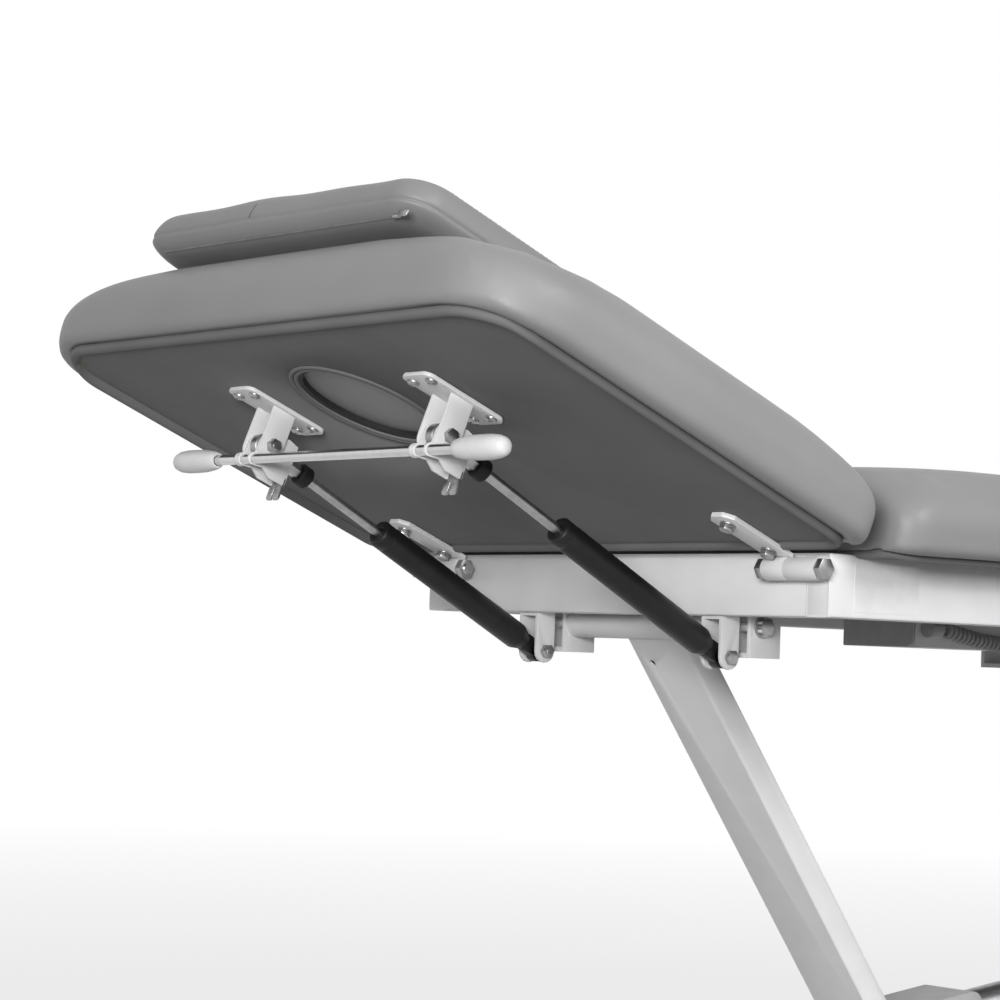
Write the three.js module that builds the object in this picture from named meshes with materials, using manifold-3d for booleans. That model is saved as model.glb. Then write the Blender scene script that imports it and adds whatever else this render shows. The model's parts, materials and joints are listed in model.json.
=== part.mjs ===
// Height-adjustable treatment bed: a tilting head section on two lockable gas springs, a body section,
// a white tube frame and two parallel lift arms on a floor frame. Millimetres, +Z up, head towards -X.
import * as THREE from 'three';
import { mergeVertices } from 'three/addons/utils/BufferGeometryUtils.js';
import Module from 'manifold-3d';

const wasm = await Module();
wasm.setup();

// Angles at rest, in degrees above the horizontal
const tiltAngle = 21.8;
const liftAngle = 53;
const actuatorLeverAngle = 50;

// Fits
const fit = 0.3;
const boltClearance = 0.3;
const overrun = 2;
const vertexWeld = 0.0001;
const weldDepth = 0.6;

// Facets
const roundSteps = 18;
const smallRoundSteps = 10;
const holeSteps = 10;
const arcSteps = 4;
const tubeCornerSteps = 1;
const hexSides = 6;
const ovalSteps = 32;

// Upper frame, measured from the head hinge axis
const frameWidth = 600;
const frameHeadX = 12;
const frameLength = 1340;
const frameTubeHeight = 60;
const railDepth = 30;
const crossTubeDepth = 40;
const tubeWall = 2;
const tubeCornerRadius = 3;
const undersideRise = 15.7;

// Lift
const armLength = 600;
const armPivotDrop = 54;
const armSpacing = 700;
const pivotTubeRadius = 15;
const pivotTubeHalfLength = 117.5;
const armTubeWidth = 80;
const armTubeDepth = 30;
const armTubeOffset = 7;
const armTubeWall = 3;
const armCableHoleRadius = 4;
const armCableHoleAlong = 28;
const pivotBoltRadius = 5;
const pivotBoltFlats = 16;
const pivotBoltHeadHeight = 6.4;
const pivotBoltReach = 22;
const washerShare = 0.68;
const armBracketWidth = 40;
const armBracketLength = 41;
const armBracketWall = 5;
const armBracketDrop = 84.5;

// Floor frame
const basePivotHeight = 120;
const baseWidth = 560;
const baseRailHeadX = -60;
const baseRailLength = 1330;
const baseTubeHeight = 60;
const baseTubeWidth = 40;
const baseRailBottom = 28;
const baseEndInset = 40;
const baseLugWall = 6;
const baseLugWidth = 50;
const baseLugTop = 22;
const footRadius = 24;
const footTopRadius = 19;
const footPadHeight = 10;
const footStemRadius = 5;
const footInset = 60;

// Lift actuator
const actuatorSideY = 78;
const actuatorPivotAhead = 71.61;
const actuatorPivotHeight = 150;
const actuatorLeverLength = 120;
const actuatorLeverWall = 6;
const actuatorLeverGap = 26;
const actuatorTubeRadius = 24;
const actuatorTubeEnd = 545;
const actuatorRodRadius = 12;
const actuatorRodInnerEnd = 215;
const actuatorHousingLength = 120;
const actuatorHousingHeight = 96;
const actuatorHousingWidth = 74;
const actuatorHousingAbove = 32;
const actuatorHousingRound = 16;
const actuatorEyeRadius = 19;
const actuatorEyeHole = 11.5;
const actuatorNeckHeight = 30;
const actuatorEyeThickness = 20;
const actuatorPinRadius = 5;

// Gas springs
const springSpacing = 276;
const springPivotX = 29.5;
const springPivotDrop = 84.7;
const springTubeRadius = 14;
const springTubeLength = 222;
const springTubeWall = 2.2;
const springTubeStart = 20;
const springTubeTaper = { radius: 9, length: 12 };
const springRodRadius = 5;
const springRodInnerEnd = 110;
const springBumperRadius = 11;
const springBumperLength = 13;
const springBumperFromPivot = 55;
const springEyeRadius = 11;
const springEyeThickness = 11;
const springHeadRadius = 12.6;
const springHeadThickness = 11.4;
const springHeadNeckRadius = 6.5;
const springPivotPlay = 4.8;
const springBoltRadius = 4;
const springBoltFlats = 13;
const springBoltHeadHeight = 5.5;
const springBoltNutHeight = 6.5;
const clevisWidth = 24;
const clevisGap = 21;
const clevisWall = 4;

// Spring brackets under the head section
const upperPivotAlong = 342.9;
const upperPivotDrop = 25.4;
const bracketPlateLength = 100;
const bracketPlateWidth = 42;
const bracketPlateThickness = 4;
const bracketPlateCorner = 10;
const bracketEarWidth = 27;
const bracketEarThickness = 3;
const bracketEarGap = 24;
const bracketScrewInset = 12;
const bracketScrewSpacing = 26;
const screwHeadRadius = 6;
const screwHeadHeight = 3.5;

// Release bar and its levers
const leverPlate = 2.5;
const leverGap = 15;
const leverPivotRadius = 12;
const barAheadOfPivot = 10.8;
const barBelowPivot = 18.5;
const barRadius = 5;
const barHalfLength = 250;
const barOffset = 3;
const barLobeRadius = 7;
const leverRearAhead = -32;
const leverRearTop = 14;
const leverTipDrop = 28;
const leverHeelShare = 0.36;
const leverTabLength = 15;
const leverWebHeight = 8;
const leverSlotWidth = 3.5;
const leverNotch = { ahead: -4, below: 22 };
const gripLength = 71;
const gripMouthRadius = 8;
// Radius of the grip at distances from its mouth
const gripOutline = [[9, 4.3], [11.5, 28.4], [11.5, 53.3], [8.6, 66.7], [3.5, 71]];
const gripOverhang = 8;
const collarRadius = 6.8;
const collarLength = 5;

// Head hinges
const hingeSleeveRadius = 11;
const hingeSideGap = 0.5;
const hingeArmWidth = 32;
const hingeArmLength = 94;
const hingeArmCorner = 9;
const hingeArmThickness = 5;
const hingeArmSleeve = 29;
const hingeFrameSleeve = 40;
const hingeBoltRadius = 6;
const hingeBoltClearance = 0.5;
const hingeBoltFlats = 19;
const hingeBoltHeadHeight = 7.5;
const hingeBoltNutHeight = 8;
const hingeArmBoltFar = 77;
const hingeArmBoltNear = 19;
const armBoltFlats = 13;
const armBoltHeadHeight = 5.5;
const washerRadius = 8;
const washerThickness = 1.5;

// Cushions
const headShoulderHeight = 58;
const bodyShoulderHeight = 54;
const padCrown = 6;
const padHalfWidth = 356;
const padBulge = 22;
const padBulgeRise = 32;
const padSideRound = 97;
const hemSag = 4.5;
const hemSagRun = 20;
const padHemInset = 5;
const headPadStart = 9;
const headPadEnd = 494;
const headPadEndBulge = 18;
const headPadEndRound = 44;
const headPadStartBulge = 6;
const hingeEndRound = 72;
const footEndRound = 44;
const shoulderCornerGrowth = 120;
const headCornerRadius = 72;
const hingeCornerRadius = 26;
const bodyPadStart = 42;
const bodyPadEnd = 1390;
const footCornerRadius = 90;
const padCrownRun = 95;
const crownShares = [[0.45, 0.7], [1, 1]];
const hemBulge = { share: 0.4, rise: 1.5 };
const lowBulgeRing = { share: 0.8, rise: 13 };
const boardThickness = 18;
const boardInset = 13;
const coverThickness = 1.5;
const cornerSteps = 5;
const widestCornerShare = 0.9;
const straightSteps = 3;

// Face hole and its plug
const holeAlong = 337;
const holeHalfLength = 70;
const holeHalfWidth = 60;
const holeTrimWidth = 12;
const holeTrimThickness = 3;
const plugClearance = 0.3;
const plugTopDrop = 1;

// Pillow
const pillowLength = 240;
const pillowWidth = 436;
const pillowHeadAlong = 502;
const pillowOffset = 17;
const pillowCorner = 34;
// From the seam up: how far each ring lies in from the edge and how high it is, both in mm
const pillowUpperRings = [[0, 21.6], [3.6, 36], [12, 45.6], [36, 51], [84, 54]];
const pillowLowerRings = [[26, 0], [9.1, 11.9]];

// Control box, hand control and their cord
const boxHeadX = 400;
const boxLength = 184;
const boxWidth = 104;
const boxDrop = 66;
const boxCoverThickness = 4;
const boxCoverCorner = 12;
const boxWall = 3;
const glandRadius = 10;
const glandLength = 18;
const glandHeadX = 411;
const glandDrop = 46;
const handsetX = 660;
const handsetWidth = 52;
const handsetLength = 150;
const handsetThickness = 24;
const handsetCorner = 10;
const handsetDrop = 12;
const handsetHookThickness = 2;
const buttonRadius = 9;
const buttonHeight = 3;
const buttonTravel = 1.2;
const upButtonRise = 33.6;
const downButtonRise = 5.6;
const buttonWellDepth = 6;
const buttonWellClearance = 0.5;
const cordRadius = 2;
const cordSteps = 5;
const curlRadius = 7;
const curlPitch = 7;
const curlCount = 25;
const curlSteps = 8;

const paint = { white: 0xe9eaeb, pad: 0x77787a, underside: 0x4d4e50, pillow: 0x7c7d80, steel: 0xb9bcc0,
  chrome: 0xd8dadd, black: 0x1c1c1e, grip: 0xe6e6e4, grey: 0x7c7e80, wood: 0xb08a5a, cord: 0xb9babc };

const tilt = THREE.MathUtils.degToRad(tiltAngle);
const lift = THREE.MathUtils.degToRad(liftAngle);
const quarter = Math.PI / 2;

// Values worked out from the sizes above
const frameTop = undersideRise - fit;
const frameBottom = frameTop - frameTubeHeight;
const armPivotX = frameHeadX + crossTubeDepth + pivotTubeRadius + fit;
const hingeHeight = basePivotHeight + armLength * Math.sin(lift) + armPivotDrop;
const basePivotX = armPivotX + armLength * Math.cos(lift);
const actuatorPivotX = basePivotX + actuatorPivotAhead;
const sideY = springSpacing / 2;
const hingeArmCentreY = frameWidth / 2 - hingeFrameSleeve - hingeSideGap - hingeArmSleeve / 2;
const padTopRise = undersideRise + padBulgeRise + headShoulderHeight + padCrown;

function bare(geometry) {
  const plain = geometry.clone();
  plain.deleteAttribute('normal');
  plain.deleteAttribute('uv');
  return mergeVertices(plain, vertexWeld);
}

function solid(geometry) {
  const plain = bare(geometry);
  const vertProperties = new Float32Array(plain.attributes.position.array);
  const triVerts = new Uint32Array(plain.index.array);
  return new wasm.Manifold(new wasm.Mesh({ numProp: 3, vertProperties, triVerts }));
}

function geometryOf(manifold) {
  const mesh = manifold.getMesh();
  const geometry = new THREE.BufferGeometry();
  geometry.setAttribute('position', new THREE.BufferAttribute(new Float32Array(mesh.vertProperties), 3));
  geometry.setIndex(new THREE.BufferAttribute(new Uint32Array(mesh.triVerts), 1));
  return geometry;
}

function join(geometries) {
  return geometryOf(geometries.map(solid).reduce((sum, next) => sum.add(next)));
}

function cut(geometry, tools) {
  return geometryOf(tools.map(solid).reduce((rest, next) => rest.subtract(next), solid(geometry)));
}

function piece(name, geometry, color, roughness, metalness) {
  const material = new THREE.MeshStandardMaterial({ color, roughness, metalness });
  const mesh = new THREE.Mesh(geometry, material);
  mesh.name = name;
  return mesh;
}

const painted = (name, geometry) => piece(name, geometry, paint.white, 0.45, 0.1);
const steel = (name, geometry) => piece(name, geometry, paint.steel, 0.3, 0.9);
const vinyl = (name, geometry) => piece(name, geometry, paint.pad, 0.55, 0);
const sheet = (name, geometry) => piece(name, geometry, paint.underside, 0.7, 0);
const timber = (name, geometry) => piece(name, geometry, paint.wood, 0.8, 0);
const rubber = (name, geometry) => piece(name, geometry, paint.black, 0.6, 0);

// Outline of a rectangle with round corners, centred on the origin
function roundedRect(width, height, radius, shape = new THREE.Shape()) {
  const x = width / 2;
  const y = height / 2;
  shape.moveTo(x, radius - y);
  shape.lineTo(x, y - radius);
  shape.absarc(x - radius, y - radius, radius, 0, quarter, false);
  shape.absarc(radius - x, y - radius, radius, quarter, 2 * quarter, false);
  shape.absarc(radius - x, radius - y, radius, 2 * quarter, 3 * quarter, false);
  shape.absarc(x - radius, radius - y, radius, 3 * quarter, 4 * quarter, false);
  return shape;
}

function circle(radius, x = 0, y = 0) {
  return new THREE.Shape().absarc(x, y, radius, 0, 4 * quarter, false);
}

function oval(halfLength, halfWidth) {
  return new THREE.Shape().absellipse(0, 0, halfLength, halfWidth, 0, 4 * quarter, false, 0);
}

function extrude(shape, length, curveSegments = arcSteps) {
  const geometry = new THREE.ExtrudeGeometry(shape, { depth: length, bevelEnabled: false, curveSegments });
  return geometry.translate(0, 0, -length / 2);
}

// A section drawn in X and Z, run along Y about its middle
function alongY(shape, length, curveSegments) {
  return extrude(shape, length, curveSegments).rotateX(quarter);
}

// A section whose width is its height in Z and whose height is its width in Y, run along X
function alongX(shape, length, curveSegments) {
  return extrude(shape, length, curveSegments).rotateY(quarter);
}

function hollowSection(width, height) {
  const shape = roundedRect(width, height, tubeCornerRadius);
  const inner = roundedRect(width - 2 * tubeWall, height - 2 * tubeWall, tubeWall, new THREE.Path());
  shape.holes.push(inner);
  return shape;
}

function tubeX(width, height, length) {
  return alongX(hollowSection(height, width), length, tubeCornerSteps);
}

function tubeY(width, height, length) {
  return alongY(hollowSection(width, height), length, tubeCornerSteps);
}

function rodY(radius, length, steps = roundSteps) {
  return new THREE.CylinderGeometry(radius, radius, length, steps);
}

function rodX(radius, length, steps = roundSteps) {
  return rodY(radius, length, steps).rotateZ(quarter);
}

function rodZ(radius, length, steps = roundSteps) {
  return rodY(radius, length, steps).rotateX(quarter);
}

// A ring round Y with a bore
function sleeveY(outer, inner, length, steps = roundSteps) {
  const shape = circle(outer);
  shape.holes.push(new THREE.Path().absarc(0, 0, inner, 0, 4 * quarter, false));
  return alongY(shape, length, steps);
}

function hexY(flats, height) {
  return new THREE.CylinderGeometry(flats / Math.sqrt(3), flats / Math.sqrt(3), height, hexSides);
}

// A bolt along Y: the grip is centred, the head is on the side of headSign and the nut on the other
function boltY({ radius, grip, flats, headHeight, nutHeight, headSign }) {
  const tail = nutHeight > 0 ? radius / 2 : 0;
  const length = grip + headHeight / 2 + nutHeight + tail;
  const shankMiddle = headSign * (headHeight / 2 - nutHeight - tail) / 2;
  const parts = [
    rodY(radius, length, smallRoundSteps).translate(0, shankMiddle, 0),
    hexY(flats, headHeight).translate(0, headSign * (grip + headHeight) / 2, 0),
  ];
  if (nutHeight > 0) parts.push(hexY(flats, nutHeight).translate(0, -headSign * (grip + nutHeight) / 2, 0));
  return join(parts);
}

// One ring of a cushion: a rectangle with round corners, as a list of points counter-clockwise from above
function cushionRing({ low, high, half, lowCorner, highCorner, rise }) {
  const widest = Math.min(half, (high - low) / 2) * widestCornerShare;
  const lowRadius = Math.min(lowCorner, widest);
  const highRadius = Math.min(highCorner, widest);
  const corners = [
    { x: high - highRadius, y: half - highRadius, r: highRadius, turn: 0 },
    { x: low + lowRadius, y: half - lowRadius, r: lowRadius, turn: 1 },
    { x: low + lowRadius, y: lowRadius - half, r: lowRadius, turn: 2 },
    { x: high - highRadius, y: highRadius - half, r: highRadius, turn: 3 },
  ];
  const ring = [];
  for (const corner of corners) {
    for (let step = 0; step <= cornerSteps; step += 1) {
      const angle = (corner.turn + step / cornerSteps) * quarter;
      ring.push([corner.x + corner.r * Math.cos(angle), corner.y + corner.r * Math.sin(angle), rise]);
    }
    const next = corners[(corner.turn + 1) % corners.length];
    const start = ring[ring.length - 1];
    const endAngle = (corner.turn + 1) * quarter;
    const end = [next.x + next.r * Math.cos(endAngle), next.y + next.r * Math.sin(endAngle)];
    for (let step = 1; step < straightSteps; step += 1) {
      const share = step / straightSteps;
      ring.push([start[0] + (end[0] - start[0]) * share, start[1] + (end[1] - start[1]) * share, rise]);
    }
  }
  return ring;
}

// A closed solid through a stack of rings, with a flat fan at the bottom and at the top
function loftRings(rings) {
  const count = rings[0].length;
  const points = rings.flat();
  const faces = [];
  for (let level = 0; level + 1 < rings.length; level += 1) {
    for (let step = 0; step < count; step += 1) {
      const a = level * count + step;
      const b = level * count + (step + 1) % count;
      faces.push(a, b, b + count, a, b + count, a + count);
    }
  }
  for (const [level, upward] of [[0, false], [rings.length - 1, true]]) {
    const ring = rings[level];
    const middle = [0, 1, 2].map((axis) => ring.reduce((sum, point) => sum + point[axis], 0) / count);
    points.push(middle);
    for (let step = 0; step < count; step += 1) {
      const a = level * count + step;
      const b = level * count + (step + 1) % count;
      if (upward) faces.push(a, b, points.length - 1);
      else faces.push(b, a, points.length - 1);
    }
  }
  const geometry = new THREE.BufferGeometry();
  geometry.setAttribute('position', new THREE.Float32BufferAttribute(points.flat(), 3));
  geometry.setIndex(faces);
  return geometry;
}

// A mattress-like pad, bottom to top: hem that sags at the sides, bulging side, round shoulder and crown
function padSolid(pad) {
  const { low, high, lowCorner, highCorner, lowBulge, highBulge, lowRound, highRound, shoulderHeight } = pad;
  const ring = ({ out, lowOut, highOut, rise, corner = 0, sag = 0 }) => cushionRing({
    low: low - lowOut, high: high + highOut, half: padHalfWidth + out, rise: undersideRise + rise,
    lowCorner: lowCorner + corner + Math.max(lowOut, 0),
    highCorner: highCorner + corner + Math.max(highOut, 0),
  }).map(([x, y, z]) => [x, y, z - sag * sideShare(y)]);
  const bulged = (share, rise, sag) => ring({ out: padBulge * share, lowOut: lowBulge * share,
    highOut: highBulge * share, rise, sag });
  const rings = [
    ring({ out: -padHemInset, lowOut: -padHemInset, highOut: -padHemInset, rise: 0 }),
    bulged(hemBulge.share, hemBulge.rise, hemSag),
    bulged(lowBulgeRing.share, lowBulgeRing.rise, hemSag / 2),
    bulged(1, padBulgeRise, 0),
  ];
  for (const step of [1, 2, 3, 4]) {
    const angle = step * quarter / 4;
    const back = 1 - Math.cos(angle);
    rings.push(ring({ out: padBulge - padSideRound * back, lowOut: lowBulge - lowRound * back,
      highOut: highBulge - highRound * back, corner: shoulderCornerGrowth * back,
      rise: padBulgeRise + shoulderHeight * Math.sin(angle) }));
  }
  for (const [runShare, riseShare] of crownShares) {
    const run = padCrownRun * runShare;
    rings.push(ring({ out: padBulge - padSideRound - run, lowOut: lowBulge - lowRound - run,
      highOut: highBulge - highRound - run, corner: shoulderCornerGrowth,
      rise: padBulgeRise + shoulderHeight + padCrown * riseShare }));
  }
  return loftRings(rings);
}

// How far a point has come into the outer run of the pad's width, where the hem sags
function sideShare(y) {
  return THREE.MathUtils.smoothstep(Math.abs(y), padHalfWidth - hemSagRun, padHalfWidth);
}

// The flat outline of the board and of the cover under a pad
function boardSolid({ low, high, lowCorner, highCorner, inset, bottom, thickness }) {
  const ring = (rise) => cushionRing({ low: low + inset, high: high - inset, half: padHalfWidth - inset,
    lowCorner: Math.max(lowCorner - inset, inset / 2), highCorner: highCorner - inset / 2, rise });
  return loftRings([ring(bottom), ring(bottom + thickness)]);
}

function underPad(outline, { grow, bottom, thickness }) {
  return boardSolid({ ...outline, inset: boardInset - grow, bottom, thickness });
}

const coverBottom = undersideRise;
const boardBottom = undersideRise + coverThickness + fit;
const foamBottom = boardBottom + boardThickness + fit;

function padPieces(prefix, outline, tools) {
  const pocketDepth = foamBottom - undersideRise + overrun;
  const pocket = underPad(outline, { grow: fit, bottom: undersideRise - overrun, thickness: pocketDepth });
  const board = underPad(outline, { grow: 0, bottom: boardBottom, thickness: boardThickness });
  const cover = underPad(outline, { grow: 0, bottom: coverBottom, thickness: coverThickness });
  return [
    vinyl(`${prefix}_pad`, cut(padSolid(outline), [pocket, ...tools])),
    timber(`${prefix}_board`, tools.length ? cut(board, tools) : board),
    sheet(`${prefix}_underside`, tools.length ? cut(cover, tools) : cover),
  ];
}

// Head section, built flat: hinge axis at the origin, the bed's head towards -X
const headOutline = { low: -headPadEnd, high: -headPadStart, lowCorner: headCornerRadius,
  highCorner: hingeCornerRadius, lowBulge: headPadEndBulge, highBulge: headPadStartBulge,
  lowRound: headPadEndRound, highRound: hingeEndRound, shoulderHeight: headShoulderHeight };

function faceHole(growth, bottom, height) {
  const shape = oval(holeHalfLength + growth, holeHalfWidth + growth);
  return extrude(shape, height, ovalSteps).translate(-holeAlong, 0, bottom + height / 2);
}

function headCushions() {
  const hole = faceHole(0, undersideRise - overrun, padTopRise - undersideRise + 2 * overrun);
  const plugBottom = foamBottom;
  const plugHeight = padTopRise - plugTopDrop - plugBottom;
  const [pad, board, cover] = padPieces('head', headOutline, [hole]);
  const trimBottom = undersideRise - holeTrimThickness;
  const trimHole = faceHole(0, trimBottom - overrun, holeTrimThickness + 2 * overrun);
  const trim = cut(faceHole(holeTrimWidth, trimBottom, holeTrimThickness), [trimHole]);
  cover.geometry = join([cover.geometry, trim]);
  return [pad, board, cover, vinyl('face_hole_plug', faceHole(-plugClearance, plugBottom, plugHeight))];
}

function pillow() {
  const low = -pillowHeadAlong;
  const ring = (inset, rise) => cushionRing({ low: low + inset, high: low + pillowLength - inset,
    half: pillowWidth / 2 - inset, lowCorner: pillowCorner, highCorner: pillowCorner,
    rise: padTopRise + fit + rise });
  const rings = [...pillowLowerRings, ...pillowUpperRings].map(([inset, rise]) => ring(inset, rise));
  return piece('head_pillow', loftRings(rings).translate(0, pillowOffset, 0), paint.pillow, 0.5, 0);
}

// Bracket under the head board that carries the top of one gas spring
function springBracket(name, y) {
  const plateTop = undersideRise - fit;
  const plateShape = roundedRect(bracketPlateLength, bracketPlateWidth, bracketPlateCorner);
  const plate = extrude(plateShape, bracketPlateThickness)
    .translate(-upperPivotAlong, 0, plateTop - bracketPlateThickness / 2);
  const earTop = plateTop - bracketPlateThickness / 2;
  const half = bracketEarWidth / 2;
  const ear = new THREE.Shape();
  ear.moveTo(half, earTop);
  ear.lineTo(-half, earTop);
  ear.lineTo(-half, -upperPivotDrop);
  ear.absarc(0, -upperPivotDrop, half, 2 * quarter, 4 * quarter, false);
  const earY = (bracketEarGap + bracketEarThickness) / 2;
  const ears = [-earY, earY].map((offset) => alongY(ear, bracketEarThickness)
    .translate(-upperPivotAlong, offset, 0));
  const bore = rodY(springBoltRadius + boltClearance, bracketEarGap * 2, holeSteps)
    .translate(-upperPivotAlong, 0, -upperPivotDrop);
  const screwHeads = screwPlaces().map(([x, screwY]) =>
    rodZ(screwHeadRadius, screwHeadHeight + weldDepth, smallRoundSteps)
      .translate(x, screwY, plateTop - bracketPlateThickness - (screwHeadHeight - weldDepth) / 2));
  return painted(name, cut(join([plate, ...ears, ...screwHeads]), [bore]).translate(0, y, 0));
}

function screwPlaces() {
  const x = bracketPlateLength / 2 - bracketScrewInset;
  const y = bracketScrewSpacing / 2;
  return [[-x, -y], [-x, y], [x, -y], [x, y]].map(([dx, dy]) => [dx - upperPivotAlong, dy]);
}

function springPivotBolt(name, side) {
  const bolt = springBolt(name, bracketEarGap + 2 * bracketEarThickness, side);
  bolt.position.set(-upperPivotAlong, side * sideY, -upperPivotDrop);
  return bolt;
}

// The strap and sleeve under the head board, with its washers and bolt heads. The strap is no wider than
// its sleeve where the hinge bolt's head turns past it.
function hingeArm(name, side) {
  const top = undersideRise - fit;
  const bottom = top - hingeArmThickness;
  const half = hingeArmWidth / 2;
  const strip = new THREE.Shape();
  strip.moveTo(0, -hingeArmSleeve / 2);
  strip.lineTo(0, hingeArmSleeve / 2);
  strip.lineTo(-hingeArmCorner, hingeArmSleeve / 2);
  strip.lineTo(-2 * hingeArmCorner, half);
  strip.lineTo(hingeArmCorner - hingeArmLength, half);
  strip.lineTo(-hingeArmLength, half - hingeArmCorner);
  strip.lineTo(-hingeArmLength, hingeArmCorner - half);
  strip.lineTo(hingeArmCorner - hingeArmLength, -half);
  strip.lineTo(-2 * hingeArmCorner, -half);
  strip.lineTo(-hingeArmCorner, -hingeArmSleeve / 2);
  const flat = extrude(strip, hingeArmThickness).translate(0, 0, top - hingeArmThickness / 2);
  const bolts = [hingeArmBoltFar, hingeArmBoltNear].flatMap((along) => [
    rodZ(washerRadius, washerThickness + weldDepth, smallRoundSteps)
      .translate(-along, 0, bottom - (washerThickness - weldDepth) / 2),
    hexY(armBoltFlats, armBoltHeadHeight + weldDepth).rotateX(quarter)
      .translate(-along, 0, bottom - washerThickness - (armBoltHeadHeight - weldDepth) / 2),
  ]);
  const body = join([flat, rodY(hingeSleeveRadius, hingeArmSleeve), ...bolts]);
  const bore = rodY(hingeBoltRadius + hingeBoltClearance, hingeArmSleeve * 2, holeSteps);
  return painted(name, cut(body, [bore]).translate(0, side * hingeArmCentreY, 0));
}

// Release bar: built about the upper spring pivots, which lie on the origin's Y axis
function releaseLever(name, y) {
  const outline = new THREE.Shape();
  outline.moveTo(0, leverPivotRadius);
  outline.absarc(0, 0, leverPivotRadius, quarter, 2 * quarter, false);
  outline.absarc(-barAheadOfPivot, -barBelowPivot, barLobeRadius, 2 * quarter, 3 * quarter, false);
  outline.lineTo(-leverNotch.ahead, -leverNotch.below);
  outline.lineTo(-leverRearAhead * leverHeelShare, -leverTipDrop);
  outline.lineTo(-leverRearAhead, -leverTipDrop);
  outline.lineTo(-leverRearAhead, leverRearTop);
  outline.lineTo(-leverRearAhead - leverPivotRadius, leverRearTop + leverPlate);
  const plateY = (leverGap + leverPlate) / 2;
  const plates = [-plateY, plateY].map((offset) => alongY(outline, leverPlate).translate(0, offset, 0));
  const webWidth = leverGap + 2 * leverPlate;
  const webHeight = leverWebHeight + leverTabLength;
  const web = new THREE.BoxGeometry(leverPlate, webWidth, webHeight)
    .translate(-leverRearAhead - leverPlate / 2, 0, leverWebHeight - leverTipDrop - webHeight / 2);
  const pivotBore = rodY(springBoltRadius + boltClearance, webWidth * 2, holeSteps);
  const barBore = rodY(barRadius + boltClearance, webWidth * 2, holeSteps)
    .translate(-barAheadOfPivot, 0, -barBelowPivot);
  const slot = new THREE.BoxGeometry(leverPlate * 4, leverSlotWidth, leverTabLength)
    .translate(-leverRearAhead, 0, -leverTipDrop - leverTabLength);
  return painted(name, cut(join([...plates, web]), [pivotBore, barBore, slot]).translate(0, y, 0));
}

// The bar with the two collars that keep it from sliding out of the levers
function releaseBar() {
  const collars = [-sideY, sideY].map((y) => rodY(collarRadius, collarLength, smallRoundSteps)
    .translate(0, y + leverGap / 2 + leverPlate + fit + collarLength / 2 - barOffset, 0));
  const bar = join([rodY(barRadius, 2 * barHalfLength, smallRoundSteps), ...collars])
    .translate(-barAheadOfPivot, barOffset, -barBelowPivot);
  return piece('release_bar', bar, paint.chrome, 0.15, 1);
}

function releaseGrip(name, side) {
  const inner = barRadius + fit;
  const socket = gripLength - gripOverhang;
  const outside = [[inner, 0], [gripMouthRadius, 0], ...gripOutline, [0, gripLength]];
  const inside = [[0, socket], [inner, socket], [inner, 0]];
  const profile = [...outside, ...inside].map(([r, along]) => new THREE.Vector2(r, along));
  const turned = outward(bare(new THREE.LatheGeometry(profile, smallRoundSteps)));
  if (side < 0) turned.rotateX(Math.PI);
  const start = barHalfLength - socket + fit;
  turned.translate(-barAheadOfPivot, side * start + barOffset, -barBelowPivot);
  return piece(name, turned, paint.grip, 0.45, 0);
}

// Turns the faces of a closed mesh outward if its volume comes out negative
function outward(geometry) {
  const points = geometry.attributes.position;
  const index = geometry.index.array;
  const [a, b, c] = [new THREE.Vector3(), new THREE.Vector3(), new THREE.Vector3()];
  let volume = 0;
  for (let face = 0; face < index.length; face += 3) {
    a.fromBufferAttribute(points, index[face]);
    b.fromBufferAttribute(points, index[face + 1]);
    c.fromBufferAttribute(points, index[face + 2]);
    volume += a.dot(b.cross(c));
  }
  if (volume < 0) {
    for (let face = 0; face < index.length; face += 3) {
      [index[face + 1], index[face + 2]] = [index[face + 2], index[face + 1]];
    }
  }
  return geometry;
}

// Gas spring, built along -X from its lower pivot at the origin
const springLength = springReach().length;

function springReach() {
  const along = Math.cos(tilt) * upperPivotAlong + Math.sin(tilt) * upperPivotDrop + springPivotX;
  const up = Math.sin(tilt) * upperPivotAlong - Math.cos(tilt) * upperPivotDrop + springPivotDrop;
  return { length: Math.hypot(along, up), angle: Math.atan2(up, along) };
}

function springCylinder(name) {
  const tubeMiddle = springTubeStart + springTubeLength / 2;
  const endCap = springTubeTaper.length;
  const tube = springTube().translate(-springTubeStart, 0, 0);
  const bore = rodX(springTubeRadius - springTubeWall, springTubeLength - 2 * endCap)
    .translate(-tubeMiddle, 0, 0);
  const rodBore = rodX(springRodRadius + fit, springTubeLength, smallRoundSteps)
    .translate(-tubeMiddle - springTubeLength / 2, 0, 0);
  const eye = rodY(springEyeRadius, springEyeThickness);
  const neck = new THREE.BoxGeometry(springTubeStart, springEyeThickness, springEyeRadius * 2)
    .translate(-springTubeStart / 2, 0, 0);
  const eyeBore = rodY(springBoltRadius + boltClearance, springEyeThickness * 2, holeSteps);
  return rubber(name, cut(join([tube, eye, neck]), [bore, rodBore, eyeBore]));
}

// The spring's body with its tapered lower end at the origin
function springTube() {
  const profile = [[0, 0], [springTubeTaper.radius, 0], [springTubeRadius, springTubeTaper.length],
    [springTubeRadius, springTubeLength], [0, springTubeLength], [0, 0]]
    .map(([r, along]) => new THREE.Vector2(r, along));
  return outward(bare(new THREE.LatheGeometry(profile, roundSteps))).rotateZ(quarter);
}

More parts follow.
